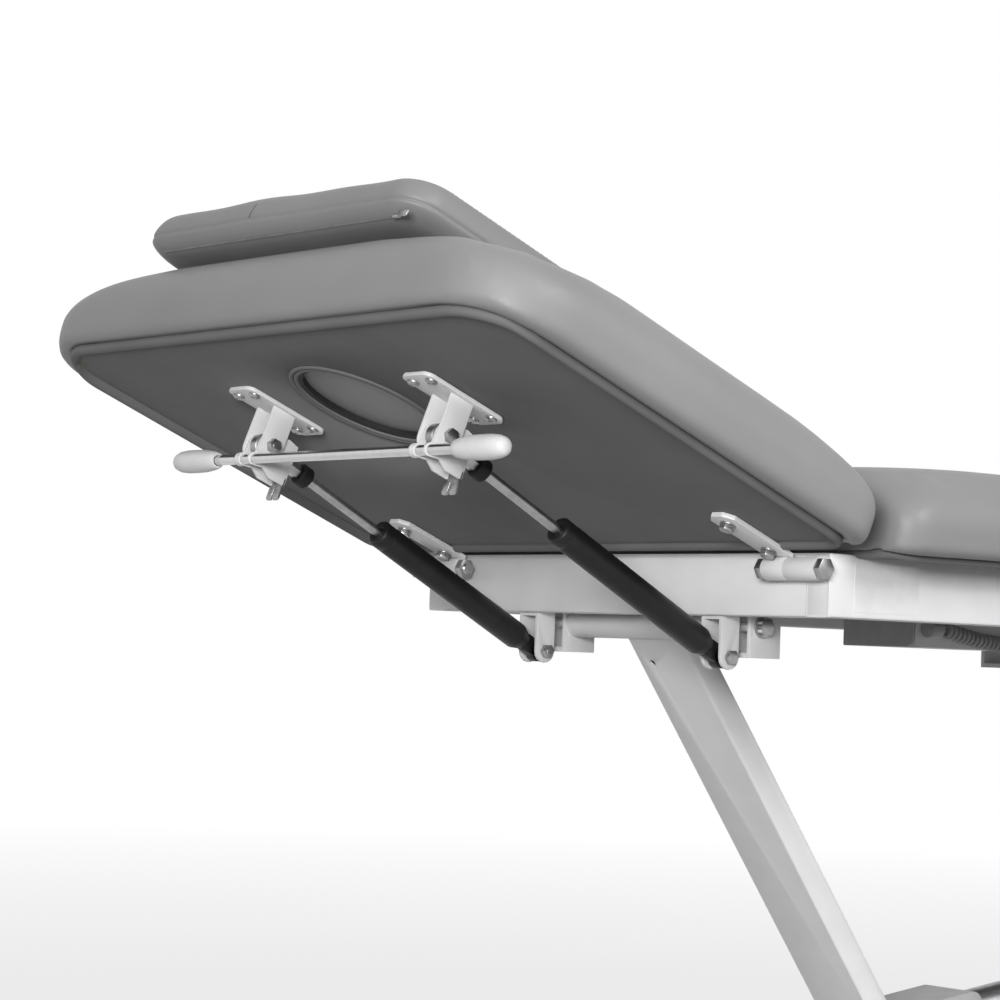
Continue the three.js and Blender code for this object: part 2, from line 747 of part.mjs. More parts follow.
function springRod(name) {
  const rodLength = springLength - springRodInnerEnd - springHeadRadius / 2;
  const rod = rodX(springRodRadius, rodLength, smallRoundSteps)
    .translate(-springRodInnerEnd - rodLength / 2, 0, 0);
  const neckEnd = springBumperFromPivot - springBumperLength / 2 - fit;
  const neck = rodX(springHeadNeckRadius, neckEnd, hexSides).translate(neckEnd / 2 - springLength, 0, 0);
  const head = rodY(springHeadRadius, springHeadThickness).translate(-springLength, 0, 0);
  const slotWidth = 2 * (springBoltRadius + springPivotPlay);
  const slot = alongY(roundedRect(slotWidth, slotWidth, springBoltRadius), springHeadThickness * 2)
    .translate(-springLength, 0, 0);
  return steel(name, cut(join([rod, neck, head]), [slot]));
}

function springBumper(name) {
  return rubber(name, sleeveY(springBumperRadius, springRodRadius + fit, springBumperLength)
    .rotateZ(quarter).translate(springBumperFromPivot - springLength, 0, 0));
}

// Upper frame, measured from the head hinge axis
function crossTube(name, x, fittings) {
  const length = frameWidth - 2 * railDepth - 2 * fit;
  const tube = tubeY(crossTubeDepth, frameTubeHeight, length)
    .translate(x + crossTubeDepth / 2, 0, (frameTop + frameBottom) / 2);
  return painted(name, join([tube, ...fittings]));
}

// A side rail with the hinge sleeve welded to its head end
function sideRail(name, side) {
  const rail = tubeX(railDepth, frameTubeHeight, frameLength).translate(frameHeadX + frameLength / 2,
    side * (frameWidth - railDepth) / 2, (frameTop + frameBottom) / 2);
  const sleeveEnd = frameWidth / 2;
  const sleeveStart = sleeveEnd - hingeFrameSleeve;
  const y = side * (sleeveStart + sleeveEnd) / 2;
  const tongueLength = frameHeadX - fit;
  const tongue = new THREE.BoxGeometry(tongueLength, hingeFrameSleeve, hingeSleeveRadius)
    .translate(tongueLength / 2, y, 0);
  const rootLength = tubeWall * 2;
  const rootWidth = railDepth - 2 * fit;
  const root = new THREE.BoxGeometry(rootLength, rootWidth, hingeSleeveRadius)
    .translate(frameHeadX, side * (frameWidth / 2 - fit - rootWidth / 2), 0);
  const body = join([rail, rodY(hingeSleeveRadius, hingeFrameSleeve).translate(0, y, 0), tongue, root]);
  const bore = rodY(hingeBoltRadius + hingeBoltClearance, hingeFrameSleeve * 2, holeSteps).translate(0, y, 0);
  return painted(name, cut(body, [bore]));
}

function hingeBolt(name, side) {
  const innerY = hingeArmCentreY - hingeArmSleeve / 2 - fit;
  const outerY = frameWidth / 2 + fit;
  const bolt = boltY({ radius: hingeBoltRadius, grip: outerY - innerY, flats: hingeBoltFlats,
    headHeight: hingeBoltHeadHeight, nutHeight: hingeBoltNutHeight, headSign: side });
  return steel(name, bolt.translate(0, side * (innerY + outerY) / 2, 0));
}

function springClevis(y) {
  const outline = new THREE.Shape();
  const half = clevisWidth / 2;
  const top = frameBottom + weldDepth + springPivotDrop;
  outline.moveTo(half, top);
  outline.lineTo(-half, top);
  outline.lineTo(-half, 0);
  outline.absarc(0, 0, half, 2 * quarter, 4 * quarter, false);
  const wallY = (clevisGap + clevisWall) / 2;
  const walls = [-wallY, wallY].map((offset) => alongY(outline, clevisWall).translate(0, offset, 0));
  const web = new THREE.BoxGeometry(clevisWidth, clevisGap + clevisWall, clevisWall)
    .translate(0, 0, top - clevisWall / 2);
  const bore = rodY(springBoltRadius + boltClearance, clevisGap * 2, holeSteps);
  return cut(join([...walls, web]), [bore]).translate(springPivotX, y, -springPivotDrop);
}

function springBolt(name, gap, side) {
  return steel(name, boltY({ radius: springBoltRadius, grip: gap + 2 * fit, flats: springBoltFlats,
    headHeight: springBoltHeadHeight, nutHeight: springBoltNutHeight, headSign: side }));
}

function clevisBolt(name, side) {
  const bolt = springBolt(name, clevisGap + 2 * clevisWall, side);
  bolt.position.set(springPivotX, side * sideY, -springPivotDrop);
  return bolt;
}

// A bent-sheet box behind a cross tube that carries one end of a lift arm's pivot tube
function armBracket(side, frameFaceX) {
  const walls = [-1, 1].map((face) => new THREE.BoxGeometry(armBracketLength, armBracketWall, armBracketDrop)
    .translate(0, face * (armBracketWidth - armBracketWall) / 2, -armBracketDrop / 2));
  const floor = new THREE.BoxGeometry(armBracketLength, armBracketWidth, armBracketWall)
    .translate(0, 0, armBracketWall / 2 - armBracketDrop);
  const box = join([...walls, floor])
    .translate(frameFaceX - weldDepth + armBracketLength / 2, side * sideY, 0);
  const bolt = armPivotBolt(side, sideY + armBracketWidth / 2)
    .translate(frameFaceX + fit + pivotTubeRadius, 0, -armPivotDrop);
  return join([box, bolt]);
}

// The bolt that runs through a wall or box into one end of a lift arm's pivot tube
function armPivotBolt(side, outerWallY) {
  const shankEnd = pivotTubeHalfLength - pivotBoltReach;
  const shankLength = outerWallY - shankEnd + pivotBoltHeadHeight;
  const shank = rodY(pivotBoltRadius, shankLength, smallRoundSteps)
    .translate(0, side * (shankEnd + shankLength / 2), 0);
  const washer = rodY(pivotBoltFlats * washerShare, washerThickness + weldDepth, smallRoundSteps)
    .translate(0, side * (outerWallY + (washerThickness - weldDepth) / 2), 0);
  const headY = outerWallY + washerThickness - weldDepth + pivotBoltHeadHeight / 2;
  return join([shank, washer, hexY(pivotBoltFlats, pivotBoltHeadHeight).translate(0, side * headY, 0)]);
}

function armBracketPair(tubeX) {
  return [-1, 1].map((side) => armBracket(side, tubeX + crossTubeDepth));
}

function springClevisPair() {
  return [-1, 1].map((side) => springClevis(side * sideY));
}

// Open-topped housing screwed up against the underside of the bed
function controlBox() {
  const top = undersideRise - fit;
  const height = top + boxDrop;
  const start = boxHeadX + boxCoverThickness + fit;
  const shell = new THREE.BoxGeometry(boxLength, boxWidth, height);
  const room = new THREE.BoxGeometry(boxLength - 2 * boxWall, boxWidth - 2 * boxWall, height);
  const body = cut(shell, [room.translate(0, 0, boxWall)])
    .translate(start + boxLength / 2, 0, top - height / 2);
  return piece('control_box', body, paint.white, 0.5, 0);
}

// Grey end cover of the control box, rounded at its lower near corner
function controlBoxCover() {
  const top = undersideRise - fit;
  const half = boxWidth / 2;
  const outline = new THREE.Shape();
  outline.moveTo(top, half);
  outline.lineTo(-boxDrop, half);
  outline.lineTo(-boxDrop, boxCoverCorner - half);
  const [cornerX, cornerY] = [boxCoverCorner - boxDrop, boxCoverCorner - half];
  outline.absarc(cornerX, cornerY, boxCoverCorner, 2 * quarter, 3 * quarter, false);
  outline.lineTo(top, -half);
  const plate = extrude(outline, boxCoverThickness).rotateY(-quarter)
    .translate(boxHeadX + boxCoverThickness / 2, 0, 0);
  return piece('control_box_cover', plate, paint.grey, 0.5, 0);
}

const cordY = -boxWidth / 2 - fit - glandRadius;

// Boss on the side of the control box that the curly cord comes out of
function cordGland() {
  const gland = rodX(glandRadius, glandLength, smallRoundSteps)
    .translate(glandHeadX + glandLength / 2, cordY, -glandDrop);
  return piece('cord_gland', gland, paint.cord, 0.5, 0);
}

function handset() {
  const middleZ = frameTop - handsetDrop - handsetLength / 2;
  const body = alongY(roundedRect(handsetWidth, handsetLength, handsetCorner), handsetThickness)
    .translate(handsetX, handsetMiddleY, middleZ);
  const faceY = handsetMiddleY - handsetThickness / 2;
  const wells = buttonHeights().map((z) => rodY(buttonRadius + buttonWellClearance, 2 * buttonWellDepth)
    .translate(handsetX, faceY, z));
  return piece('handset', cut(body, wells), paint.grey, 0.5, 0);
}

function buttonHeights() {
  const middleZ = frameTop - handsetDrop - handsetLength / 2;
  return [middleZ + upButtonRise, middleZ + downButtonRise];
}

function handsetButton(name, z) {
  const faceY = handsetMiddleY - handsetThickness / 2;
  const length = buttonHeight + buttonWellDepth - buttonTravel - buttonWellClearance;
  return piece(name, rodY(buttonRadius, length).translate(handsetX, faceY - buttonHeight + length / 2, z),
    paint.grip, 0.5, 0);
}

function handsetHook() {
  const outerY = -frameWidth / 2 - fit;
  const height = frameTop - handsetDrop - frameBottom;
  const plate = new THREE.BoxGeometry(handsetWidth, handsetHookThickness, height)
    .translate(handsetX, outerY - handsetHookThickness / 2, frameBottom + height / 2);
  return steel('handset_hook', plate);
}

// Hand-chosen points of the cord's tail: X, the share of the way across to the hand control, and Z
const cordStart = new THREE.Vector3(glandHeadX + glandLength + fit, cordY, -glandDrop);
const cordTailY = -64;
const handsetMiddleY = -frameWidth / 2 - handsetHookThickness - 2 * fit - handsetThickness / 2;
const cordTail = [[628, 0, -58], [642, 0.04, -62], [652, 0.128, -72], [658, 0.263, -90], [660, 0.423, -114],
  [660, 0.583, -136], [660, 0.742, -156], [660, 0.87, -170], [660, 0.95, -174], [660, 0.99, -166],
  [660, 1, -156], [660, 1, -150], [660, 1, -147.2]];

function curledCord() {
  const points = [cordStart.clone()];
  const leadIn = cordStart.clone().add(new THREE.Vector3(2 * cordRadius, 0, 0));
  points.push(leadIn);
  const curlRun = curlCount * curlPitch;
  const steps = curlCount * curlSteps;
  const tail = cordTail.map(([x, across, z]) =>
    new THREE.Vector3(x, THREE.MathUtils.lerp(cordTailY, handsetMiddleY, across), z));
  for (let step = 0; step <= steps; step += 1) {
    const share = step / steps;
    const turn = share * curlCount * 4 * quarter;
    const ease = Math.min(1, share * curlCount * 2, (1 - share) * curlCount * 2);
    const sag = Math.sin(share * Math.PI) * curlRadius;
    const middleZ = cordStart.z + (tail[0].z - cordStart.z) * share - sag;
    points.push(new THREE.Vector3(leadIn.x + curlPitch / 2 + curlRun * share,
      cordY + ease * curlRadius * Math.sin(turn), middleZ + ease * curlRadius * Math.cos(turn)));
  }
  return points.concat(tail);
}

function tubeThrough(points, radius, sides) {
  const count = points.length;
  const rings = [];
  let up = new THREE.Vector3(0, 0, 1);
  for (let step = 0; step < count; step += 1) {
    const before = points[Math.max(step - 1, 0)];
    const after = points[Math.min(step + 1, count - 1)];
    const ahead = after.clone().sub(before).normalize();
    const side = ahead.clone().cross(up).normalize();
    up = side.clone().cross(ahead).normalize();
    const ring = [];
    for (let corner = 0; corner < sides; corner += 1) {
      const angle = corner / sides * 4 * quarter;
      const place = points[step].clone().addScaledVector(side, radius * Math.cos(angle))
        .addScaledVector(up, radius * Math.sin(angle));
      ring.push(place.toArray());
    }
    rings.push(ring);
  }
  return outward(loftRings(rings));
}

// Least distance between stretches of a route that are more than one curl apart along it
function leastGap(points, radius) {
  let least = Infinity;
  points.forEach((a, first) => {
    for (let second = first + curlSteps - 2; second < points.length; second += 1) {
      least = Math.min(least, a.distanceTo(points[second]));
    }
  });
  return least - 2 * radius;
}

function handsetCord() {
  const points = curledCord();
  console.log(`handset cord: least gap between curls ${leastGap(points, cordRadius).toFixed(2)} mm`);
  return piece('handset_cord', tubeThrough(points, cordRadius, cordSteps), paint.cord, 0.5, 0);
}

// A lift arm built along -X from its floor pivot at the origin, with its pivot tubes
function liftArm(lever) {
  const length = armLength;
  const section = roundedRect(armTubeDepth, armTubeWidth, tubeCornerRadius);
  const arm = alongX(section, length, tubeCornerSteps).translate(-length / 2, 0, armTubeOffset);
  const ends = [0, -length];
  const pivotTubes = ends.map((x) => rodY(pivotTubeRadius, 2 * pivotTubeHalfLength).translate(x, 0, 0));
  const solids = [arm, ...pivotTubes, ...(lever ? actuatorLevers() : [])];
  const room = roundedRect(armTubeDepth - 2 * armTubeWall, armTubeWidth - 2 * armTubeWall, armTubeWall);
  const hollow = alongX(room, length - 2 * pivotTubeRadius, tubeCornerSteps)
    .translate(-length / 2, 0, armTubeOffset);
  const bore = pivotBoltRadius + boltClearance;
  const bores = ends.map((x) => rodY(bore, 4 * pivotTubeHalfLength, holeSteps).translate(x, 0, 0));
  const holeX = armCableHoleAlong + pivotTubeRadius - length;
  const cableHole = rodZ(armCableHoleRadius, armTubeDepth, holeSteps)
    .translate(holeX, armTubeWidth / 4, armTubeOffset - armTubeDepth / 2);
  return cut(join(solids), [hollow, ...bores, cableHole]);
}

function leverTip() {
  const angle = THREE.MathUtils.degToRad(actuatorLeverAngle);
  return [-actuatorLeverLength * Math.cos(angle), actuatorLeverLength * Math.sin(angle)];
}

// Two lever plates on the pivot tube, with the pin that the actuator's rod pushes
function actuatorLevers() {
  const angle = THREE.MathUtils.degToRad(actuatorLeverAngle);
  const [tipX, tipZ] = leverTip();
  const plates = [-1, 1].flatMap((side) => {
    const y = actuatorSideY + side * (actuatorLeverGap + actuatorLeverWall) / 2;
    const width = 2 * actuatorEyeRadius;
    const plate = alongY(roundedRect(actuatorLeverLength, width, actuatorEyeRadius / 2), actuatorLeverWall)
      .translate(-actuatorLeverLength / 2, 0, 0).rotateY(angle).translate(0, y, 0);
    return [plate, rodY(actuatorEyeRadius, actuatorLeverWall).translate(tipX, y, tipZ)];
  });
  return [...plates, actuatorPin().translate(tipX, 0, tipZ)];
}

function actuatorPin() {
  const grip = actuatorLeverGap + 2 * actuatorLeverWall;
  return boltY({ radius: actuatorPinRadius, grip, flats: pivotBoltFlats, headHeight: pivotBoltHeadHeight,
    nutHeight: pivotBoltHeadHeight, headSign: 1 }).translate(0, actuatorSideY, 0);
}

// Lift actuator, built along +X from its floor pivot at the origin
function actuatorReach() {
  const angle = lift + THREE.MathUtils.degToRad(actuatorLeverAngle);
  const tipX = basePivotX + armSpacing - actuatorLeverLength * Math.cos(angle);
  const tipZ = basePivotHeight + actuatorLeverLength * Math.sin(angle);
  const along = tipX - actuatorPivotX;
  const up = tipZ - actuatorPivotHeight;
  return { length: Math.hypot(along, up), angle: Math.atan2(up, along) };
}

function actuatorHousing() {
  const start = actuatorEyeRadius;
  const shape = roundedRect(actuatorHousingLength, actuatorHousingHeight, actuatorHousingRound);
  const body = alongY(shape, actuatorHousingWidth)
    .translate(start + actuatorHousingLength / 2, 0, actuatorHousingAbove - actuatorHousingHeight / 2);
  const neck = rodY(actuatorEyeRadius, actuatorEyeThickness);
  const bridge = new THREE.BoxGeometry(actuatorEyeRadius * 2, actuatorEyeThickness, actuatorNeckHeight)
    .translate(actuatorEyeRadius, 0, 0);
  const bore = rodY(actuatorPinRadius + boltClearance, actuatorEyeThickness * 2, holeSteps);
  return piece('actuator_motor', cut(join([body, neck, bridge]), [bore]), paint.grey, 0.5, 0);
}

function actuatorTube() {
  const start = actuatorEyeRadius + actuatorHousingLength + fit;
  const length = actuatorTubeEnd - start;
  const tube = sleeveY(actuatorTubeRadius, actuatorRodRadius + fit, length)
    .rotateZ(quarter).translate(start + length / 2, 0, 0);
  return piece('actuator_tube', tube, paint.steel, 0.4, 0.6);
}

function actuatorRod() {
  const length = actuatorReach().length;
  const rodLength = length - actuatorRodInnerEnd - actuatorEyeRadius / 2;
  const rod = rodX(actuatorRodRadius, rodLength).translate(actuatorRodInnerEnd + rodLength / 2, 0, 0);
  const eye = rodY(actuatorEyeRadius, actuatorEyeThickness).translate(length, 0, 0);
  const bore = rodY(actuatorEyeHole, actuatorEyeThickness * 2).translate(length, 0, 0);
  return piece('actuator_rod', cut(join([rod, eye]), [bore]), paint.chrome, 0.2, 1);
}

// Floor frame
function baseRail(name, side) {
  return painted(name, tubeX(baseTubeWidth, baseTubeHeight, baseRailLength)
    .translate(baseRailHeadX + baseRailLength / 2, side * (baseWidth - baseTubeWidth) / 2,
      baseRailBottom + baseTubeHeight / 2));
}

function baseCross(x) {
  const length = baseWidth - 2 * baseTubeWidth - 2 * fit;
  return tubeY(baseTubeWidth, baseTubeHeight, length).translate(x, 0, baseRailBottom + baseTubeHeight / 2);
}

// A floor cross tube with the two welded lugs and bolts that carry the foot of a lift arm
function baseArmCross(name, x) {
  const bottom = baseRailBottom + baseTubeHeight - weldDepth;
  const top = basePivotHeight + baseLugTop;
  const lugs = [-1, 1].flatMap((side) => {
    const y = side * (pivotTubeHalfLength + fit + baseLugWall / 2);
    const shape = roundedRect(baseLugWidth, top - bottom, baseLugTop / 2);
    const plate = alongY(shape, baseLugWall).translate(x, y, (top + bottom) / 2);
    const bolt = armPivotBolt(side, pivotTubeHalfLength + fit + baseLugWall).translate(x, 0, basePivotHeight);
    return [plate, bolt];
  });
  return painted(name, join([baseCross(x), ...lugs]));
}

function actuatorLug() {
  const crossX = basePivotX + baseTubeWidth / 2 + fit;
  const bottom = baseRailBottom + baseTubeWidth / 2;
  const outline = new THREE.Shape();
  outline.moveTo(crossX, bottom);
  outline.lineTo(actuatorPivotX, actuatorPivotHeight - actuatorEyeRadius);
  outline.absarc(actuatorPivotX, actuatorPivotHeight, actuatorEyeRadius, -quarter, 2 * quarter, false);
  outline.lineTo(crossX, actuatorPivotHeight - actuatorEyeRadius);
  const wallY = (actuatorLeverGap + actuatorLeverWall) / 2;
  const plates = [-wallY, wallY].map((y) =>
    alongY(outline, actuatorLeverWall).translate(0, actuatorSideY + y, 0));
  const web = new THREE.BoxGeometry(actuatorLeverWall, actuatorLeverGap + actuatorLeverWall, baseTubeWidth)
    .translate(crossX + actuatorLeverWall / 2, actuatorSideY, baseRailBottom + baseTubeHeight / 2);
  const pin = actuatorPin().translate(actuatorPivotX, 0, actuatorPivotHeight);
  return painted('actuator_lug', join([...plates, web, pin]));
}

function levellingFeet() {
  const y = (baseWidth - baseTubeWidth) / 2;
  const headX = baseRailHeadX + footInset;
  const footX = baseRailHeadX + baseRailLength - footInset;
  const places = {
    head_left: [headX, y], head_right: [headX, -y], foot_left: [footX, y], foot_right: [footX, -y],
  };
  return Object.entries(places).map(([corner, place]) => {
    const pad = new THREE.CylinderGeometry(footTopRadius, footRadius, footPadHeight, roundSteps)
      .rotateX(quarter).translate(0, 0, footPadHeight / 2);
    const stemLength = baseRailBottom - fit - footPadHeight / 2;
    const stem = rodZ(footStemRadius, stemLength, smallRoundSteps)
      .translate(0, 0, footPadHeight / 2 + stemLength / 2);
    return rubber(`${corner}_levelling_foot`, join([pad, stem]).translate(...place, 0));
  });
}

function group(children) {
  const holder = new THREE.Group();
  holder.add(...children);
  return holder;
}

function headSection() {
  const head = group([
    ...headCushions(),
    pillow(),
    springBracket('left_spring_bracket', sideY),
    springBracket('right_spring_bracket', -sideY),
    springPivotBolt('left_bracket_bolt', 1),
    springPivotBolt('right_bracket_bolt', -1),
    hingeArm('left_hinge_arm', 1),
    hingeArm('right_hinge_arm', -1),
  ]);
  const release = group([
    releaseLever('left_release_lever', sideY),
    releaseLever('right_release_lever', -sideY),
    releaseBar(),
    releaseGrip('left_release_grip', 1),
    releaseGrip('right_release_grip', -1),
  ]);
  release.position.set(-upperPivotAlong, 0, -upperPivotDrop);
  head.add(release);
  head.rotation.y = tilt;
  return head;
}

function gasSpring(side, y) {
  const spring = group([
    springCylinder(`${side}_spring_cylinder`),
    springRod(`${side}_spring_rod`),
    springBumper(`${side}_spring_bumper`),
  ]);
  spring.position.set(springPivotX, y, -springPivotDrop);
  spring.rotation.y = springReach().angle;
  return spring;
}

function bodySection() {
  const outline = { low: bodyPadStart, high: bodyPadEnd, lowCorner: hingeCornerRadius,
    highCorner: footCornerRadius, lowBulge: headPadStartBulge, highBulge: headPadEndBulge,
    lowRound: hingeEndRound, highRound: footEndRound, shoulderHeight: bodyShoulderHeight };
  return padPieces('body', outline, []);
}

function upperFrame() {
  const frame = group([
    crossTube('head_cross_tube', frameHeadX, [...armBracketPair(frameHeadX), ...springClevisPair()]),
    crossTube('middle_cross_tube', frameHeadX + armSpacing, armBracketPair(frameHeadX + armSpacing)),
    crossTube('foot_cross_tube', frameHeadX + frameLength - crossTubeDepth, []),
    sideRail('left_side_rail', 1),
    sideRail('right_side_rail', -1),
    hingeBolt('left_hinge_bolt', 1),
    hingeBolt('right_hinge_bolt', -1),
    clevisBolt('left_clevis_bolt', 1),
    clevisBolt('right_clevis_bolt', -1),
    ...bodySection(),
    controlBox(),
    controlBoxCover(),
    cordGland(),
    handsetCord(),
    handset(),
    handsetHook(),
    handsetButton('handset_up_button', buttonHeights()[0]),
    handsetButton('handset_down_button', buttonHeights()[1]),
    headSection(),
    gasSpring('left', sideY),
    gasSpring('right', -sideY),
  ]);
  frame.position.z = hingeHeight;
  return frame;
}

function arm(name, x, lever) {
  const holder = group([painted(name, liftArm(lever))]);
  holder.position.set(x, 0, basePivotHeight);
  holder.rotation.y = lift;
  return holder;
}

function actuator() {
  const holder = group([actuatorHousing(), actuatorTube(), actuatorRod()]);
  holder.position.set(actuatorPivotX, actuatorSideY, actuatorPivotHeight);
  holder.rotation.y = -actuatorReach().angle;
  return holder;
}

function floorFrame() {
  return group([
    baseRail('left_floor_rail', 1),
    baseRail('right_floor_rail', -1),
    painted('floor_head_tube', baseCross(baseRailHeadX + baseEndInset)),
    baseArmCross('floor_middle_tube', basePivotX),
    baseArmCross('floor_foot_tube', basePivotX + armSpacing),
    actuatorLug(),
    ...levellingFeet(),
  ]);
}

// The whole bed, with the middle of its length over the origin
const bed = group([
  floorFrame(),
  arm('head_lift_arm', basePivotX, false),
  arm('foot_lift_arm', basePivotX + armSpacing, true),
  actuator(),
  upperFrame(),
]);
bed.updateMatrixWorld(true);
const extent = new THREE.Box3().setFromObject(bed, true);
bed.position.x = -(extent.min.x + extent.max.x) / 2;

export default bed;
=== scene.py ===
"""Treatment bed with a tilting head section on gas springs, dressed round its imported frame.

Sizes are in millimetres in each piece's own frame, and the frames below bring them to metres.
"""
import json
import math

import bmesh
import bpy
from mathutils import Matrix, Vector

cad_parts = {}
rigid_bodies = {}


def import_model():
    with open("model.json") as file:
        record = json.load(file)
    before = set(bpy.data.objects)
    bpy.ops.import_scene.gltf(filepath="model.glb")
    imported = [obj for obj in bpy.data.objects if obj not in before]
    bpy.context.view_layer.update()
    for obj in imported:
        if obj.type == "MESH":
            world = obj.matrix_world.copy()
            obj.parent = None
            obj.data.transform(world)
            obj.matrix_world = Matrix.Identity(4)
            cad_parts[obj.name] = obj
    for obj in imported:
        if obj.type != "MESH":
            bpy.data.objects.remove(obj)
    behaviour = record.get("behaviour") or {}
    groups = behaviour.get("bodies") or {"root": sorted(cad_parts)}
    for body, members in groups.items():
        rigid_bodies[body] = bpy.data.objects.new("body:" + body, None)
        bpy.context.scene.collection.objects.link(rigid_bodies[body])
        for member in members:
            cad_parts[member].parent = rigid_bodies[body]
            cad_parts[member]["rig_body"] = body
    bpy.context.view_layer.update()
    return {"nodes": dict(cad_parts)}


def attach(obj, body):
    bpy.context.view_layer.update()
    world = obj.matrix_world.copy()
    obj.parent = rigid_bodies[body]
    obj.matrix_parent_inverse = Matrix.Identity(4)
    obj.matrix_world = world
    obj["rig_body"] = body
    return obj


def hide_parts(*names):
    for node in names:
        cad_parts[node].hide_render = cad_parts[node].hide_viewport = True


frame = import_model()

# Rest angles and the main places
TILT = math.radians(21.8)
HINGE_X = -473.308
HINGE_Z = 653.181
SIDES = {"left": 1, "right": -1}
FULL_TURN = 2 * math.pi
QUARTER = math.radians(90)
UPPER_PIVOT_ALONG, UPPER_PIVOT_DROP = 342.9, 25.4
LOWER_PIVOT_X, LOWER_PIVOT_DROP = 29.5, 84.7
SPRING_HALF_SPACING = 138

# Frames: each takes a piece's own millimetres to the row frame
MM = Matrix.Scale(0.001, 4)
BED = MM @ Matrix.Translation((HINGE_X, 0, HINGE_Z))
HEAD = BED @ Matrix.Rotation(TILT, 4, "Y")
UPPER_PIVOT = Vector((-UPPER_PIVOT_ALONG, 0, -UPPER_PIVOT_DROP))
LOWER_PIVOT = Vector((LOWER_PIVOT_X, 0, -LOWER_PIVOT_DROP))
RELEASE = HEAD @ Matrix.Translation(UPPER_PIVOT)
ALONG_Y = Matrix.Rotation(QUARTER, 4, "Z")
ALONG_Z = Matrix.Rotation(-QUARTER, 4, "Y")
DOWNWARD = Matrix.Rotation(QUARTER, 4, "Y")
UPRIGHT = Matrix.Rotation(QUARTER, 4, "X")


def moved(x=0.0, y=0.0, z=0.0):
    return Matrix.Translation((x, y, z))


def outward(side):
    """A turn that takes X to Y, pointing away from the middle of the bed on the given side."""
    return ALONG_Y if side > 0 else ALONG_Y @ Matrix.Rotation(math.pi, 4, "Z")


# Camera and light

CAMERA_PLACE = (-2.42827, -2.20327, 0.56377)
CAMERA_YAW = math.radians(39.469)
CAMERA_PITCH = math.radians(3.012)
CAMERA_ROLL = math.radians(2.051)
CAMERA_LENS = 105.35
FLOOR_COLOUR = (0.2, 0.2, 0.2, 1)
FLOOR_WHITENESS = 0.8
FLOOR_SIZE = 80
SHADOW_REACH = 6
WORLD_LEVEL = 0.3
KEY_LAMP = {"place": (0.4, -4.2, 3.0), "target": (-0.3, 0, 0.7), "size": (2.4, 1.8), "power": 106}
FRONT_LAMP = {"place": (-2.8, -2.0, 1.1), "target": (-0.4, -0.05, 0.62), "size": (1.0, 0.6), "power": 62}


def add_camera():
    ahead = Vector((math.sin(CAMERA_YAW) * math.cos(CAMERA_PITCH),
                    math.cos(CAMERA_YAW) * math.cos(CAMERA_PITCH), math.sin(CAMERA_PITCH)))
    level = Vector((math.cos(CAMERA_YAW), -math.sin(CAMERA_YAW), 0))
    above = level.cross(ahead)
    right = level * math.cos(CAMERA_ROLL) + above * math.sin(CAMERA_ROLL)
    up = above * math.cos(CAMERA_ROLL) - level * math.sin(CAMERA_ROLL)
    camera = bpy.data.objects.new("camera", bpy.data.cameras.new("camera"))
    camera.data.lens = CAMERA_LENS
    camera.data.sensor_width = 36
    turn = Matrix((right, up, -ahead)).transposed().to_4x4()
    camera.matrix_world = Matrix.Translation(CAMERA_PLACE) @ turn
    bpy.context.scene.collection.objects.link(camera)
    bpy.context.scene.camera = camera


def add_lamp(name, place, target, size, power):
    lamp = bpy.data.objects.new(name, bpy.data.lights.new(name, "AREA"))
    lamp.data.shape = "RECTANGLE"
    lamp.data.size, lamp.data.size_y = size
    lamp.data.energy = power
    aim = Vector(target) - Vector(place)
    turn = aim.to_track_quat("-Z", "Y").to_matrix().to_4x4()
    lamp.matrix_world = Matrix.Translation(place) @ turn
    bpy.context.scene.collection.objects.link(lamp)


def seen_directly(nodes, links):
    """1 for camera, glossy and transmission rays, 0 for the rays that light the object."""
    rays = nodes.new("ShaderNodeLightPath")
    total = None
    for kind in ("Is Camera Ray", "Is Glossy Ray", "Is Transmission Ray"):
        if total is None:
            total = rays.outputs[kind]
            continue
        most = nodes.new("ShaderNodeMath")
        most.operation = "MAXIMUM"
        links.new(total, most.inputs[0])
        links.new(rays.outputs[kind], most.inputs[1])
        total = most.outputs[0]
    return total


def light_world(level):
    """A white surround whose light on the bed is held back to the given level."""
    world = bpy.data.worlds.new("studio")
    world.use_nodes = True
    nodes, links = world.node_tree.nodes, world.node_tree.links
    strength = nodes.new("ShaderNodeMapRange")
    strength.inputs["To Min"].default_value = level
    strength.inputs["To Max"].default_value = 1
    links.new(seen_directly(nodes, links), strength.inputs["Value"])
    links.new(strength.outputs["Result"], nodes["Background"].inputs["Strength"])
    nodes["Background"].inputs["Color"].default_value = (1, 1, 1, 1)
    bpy.context.scene.world = world


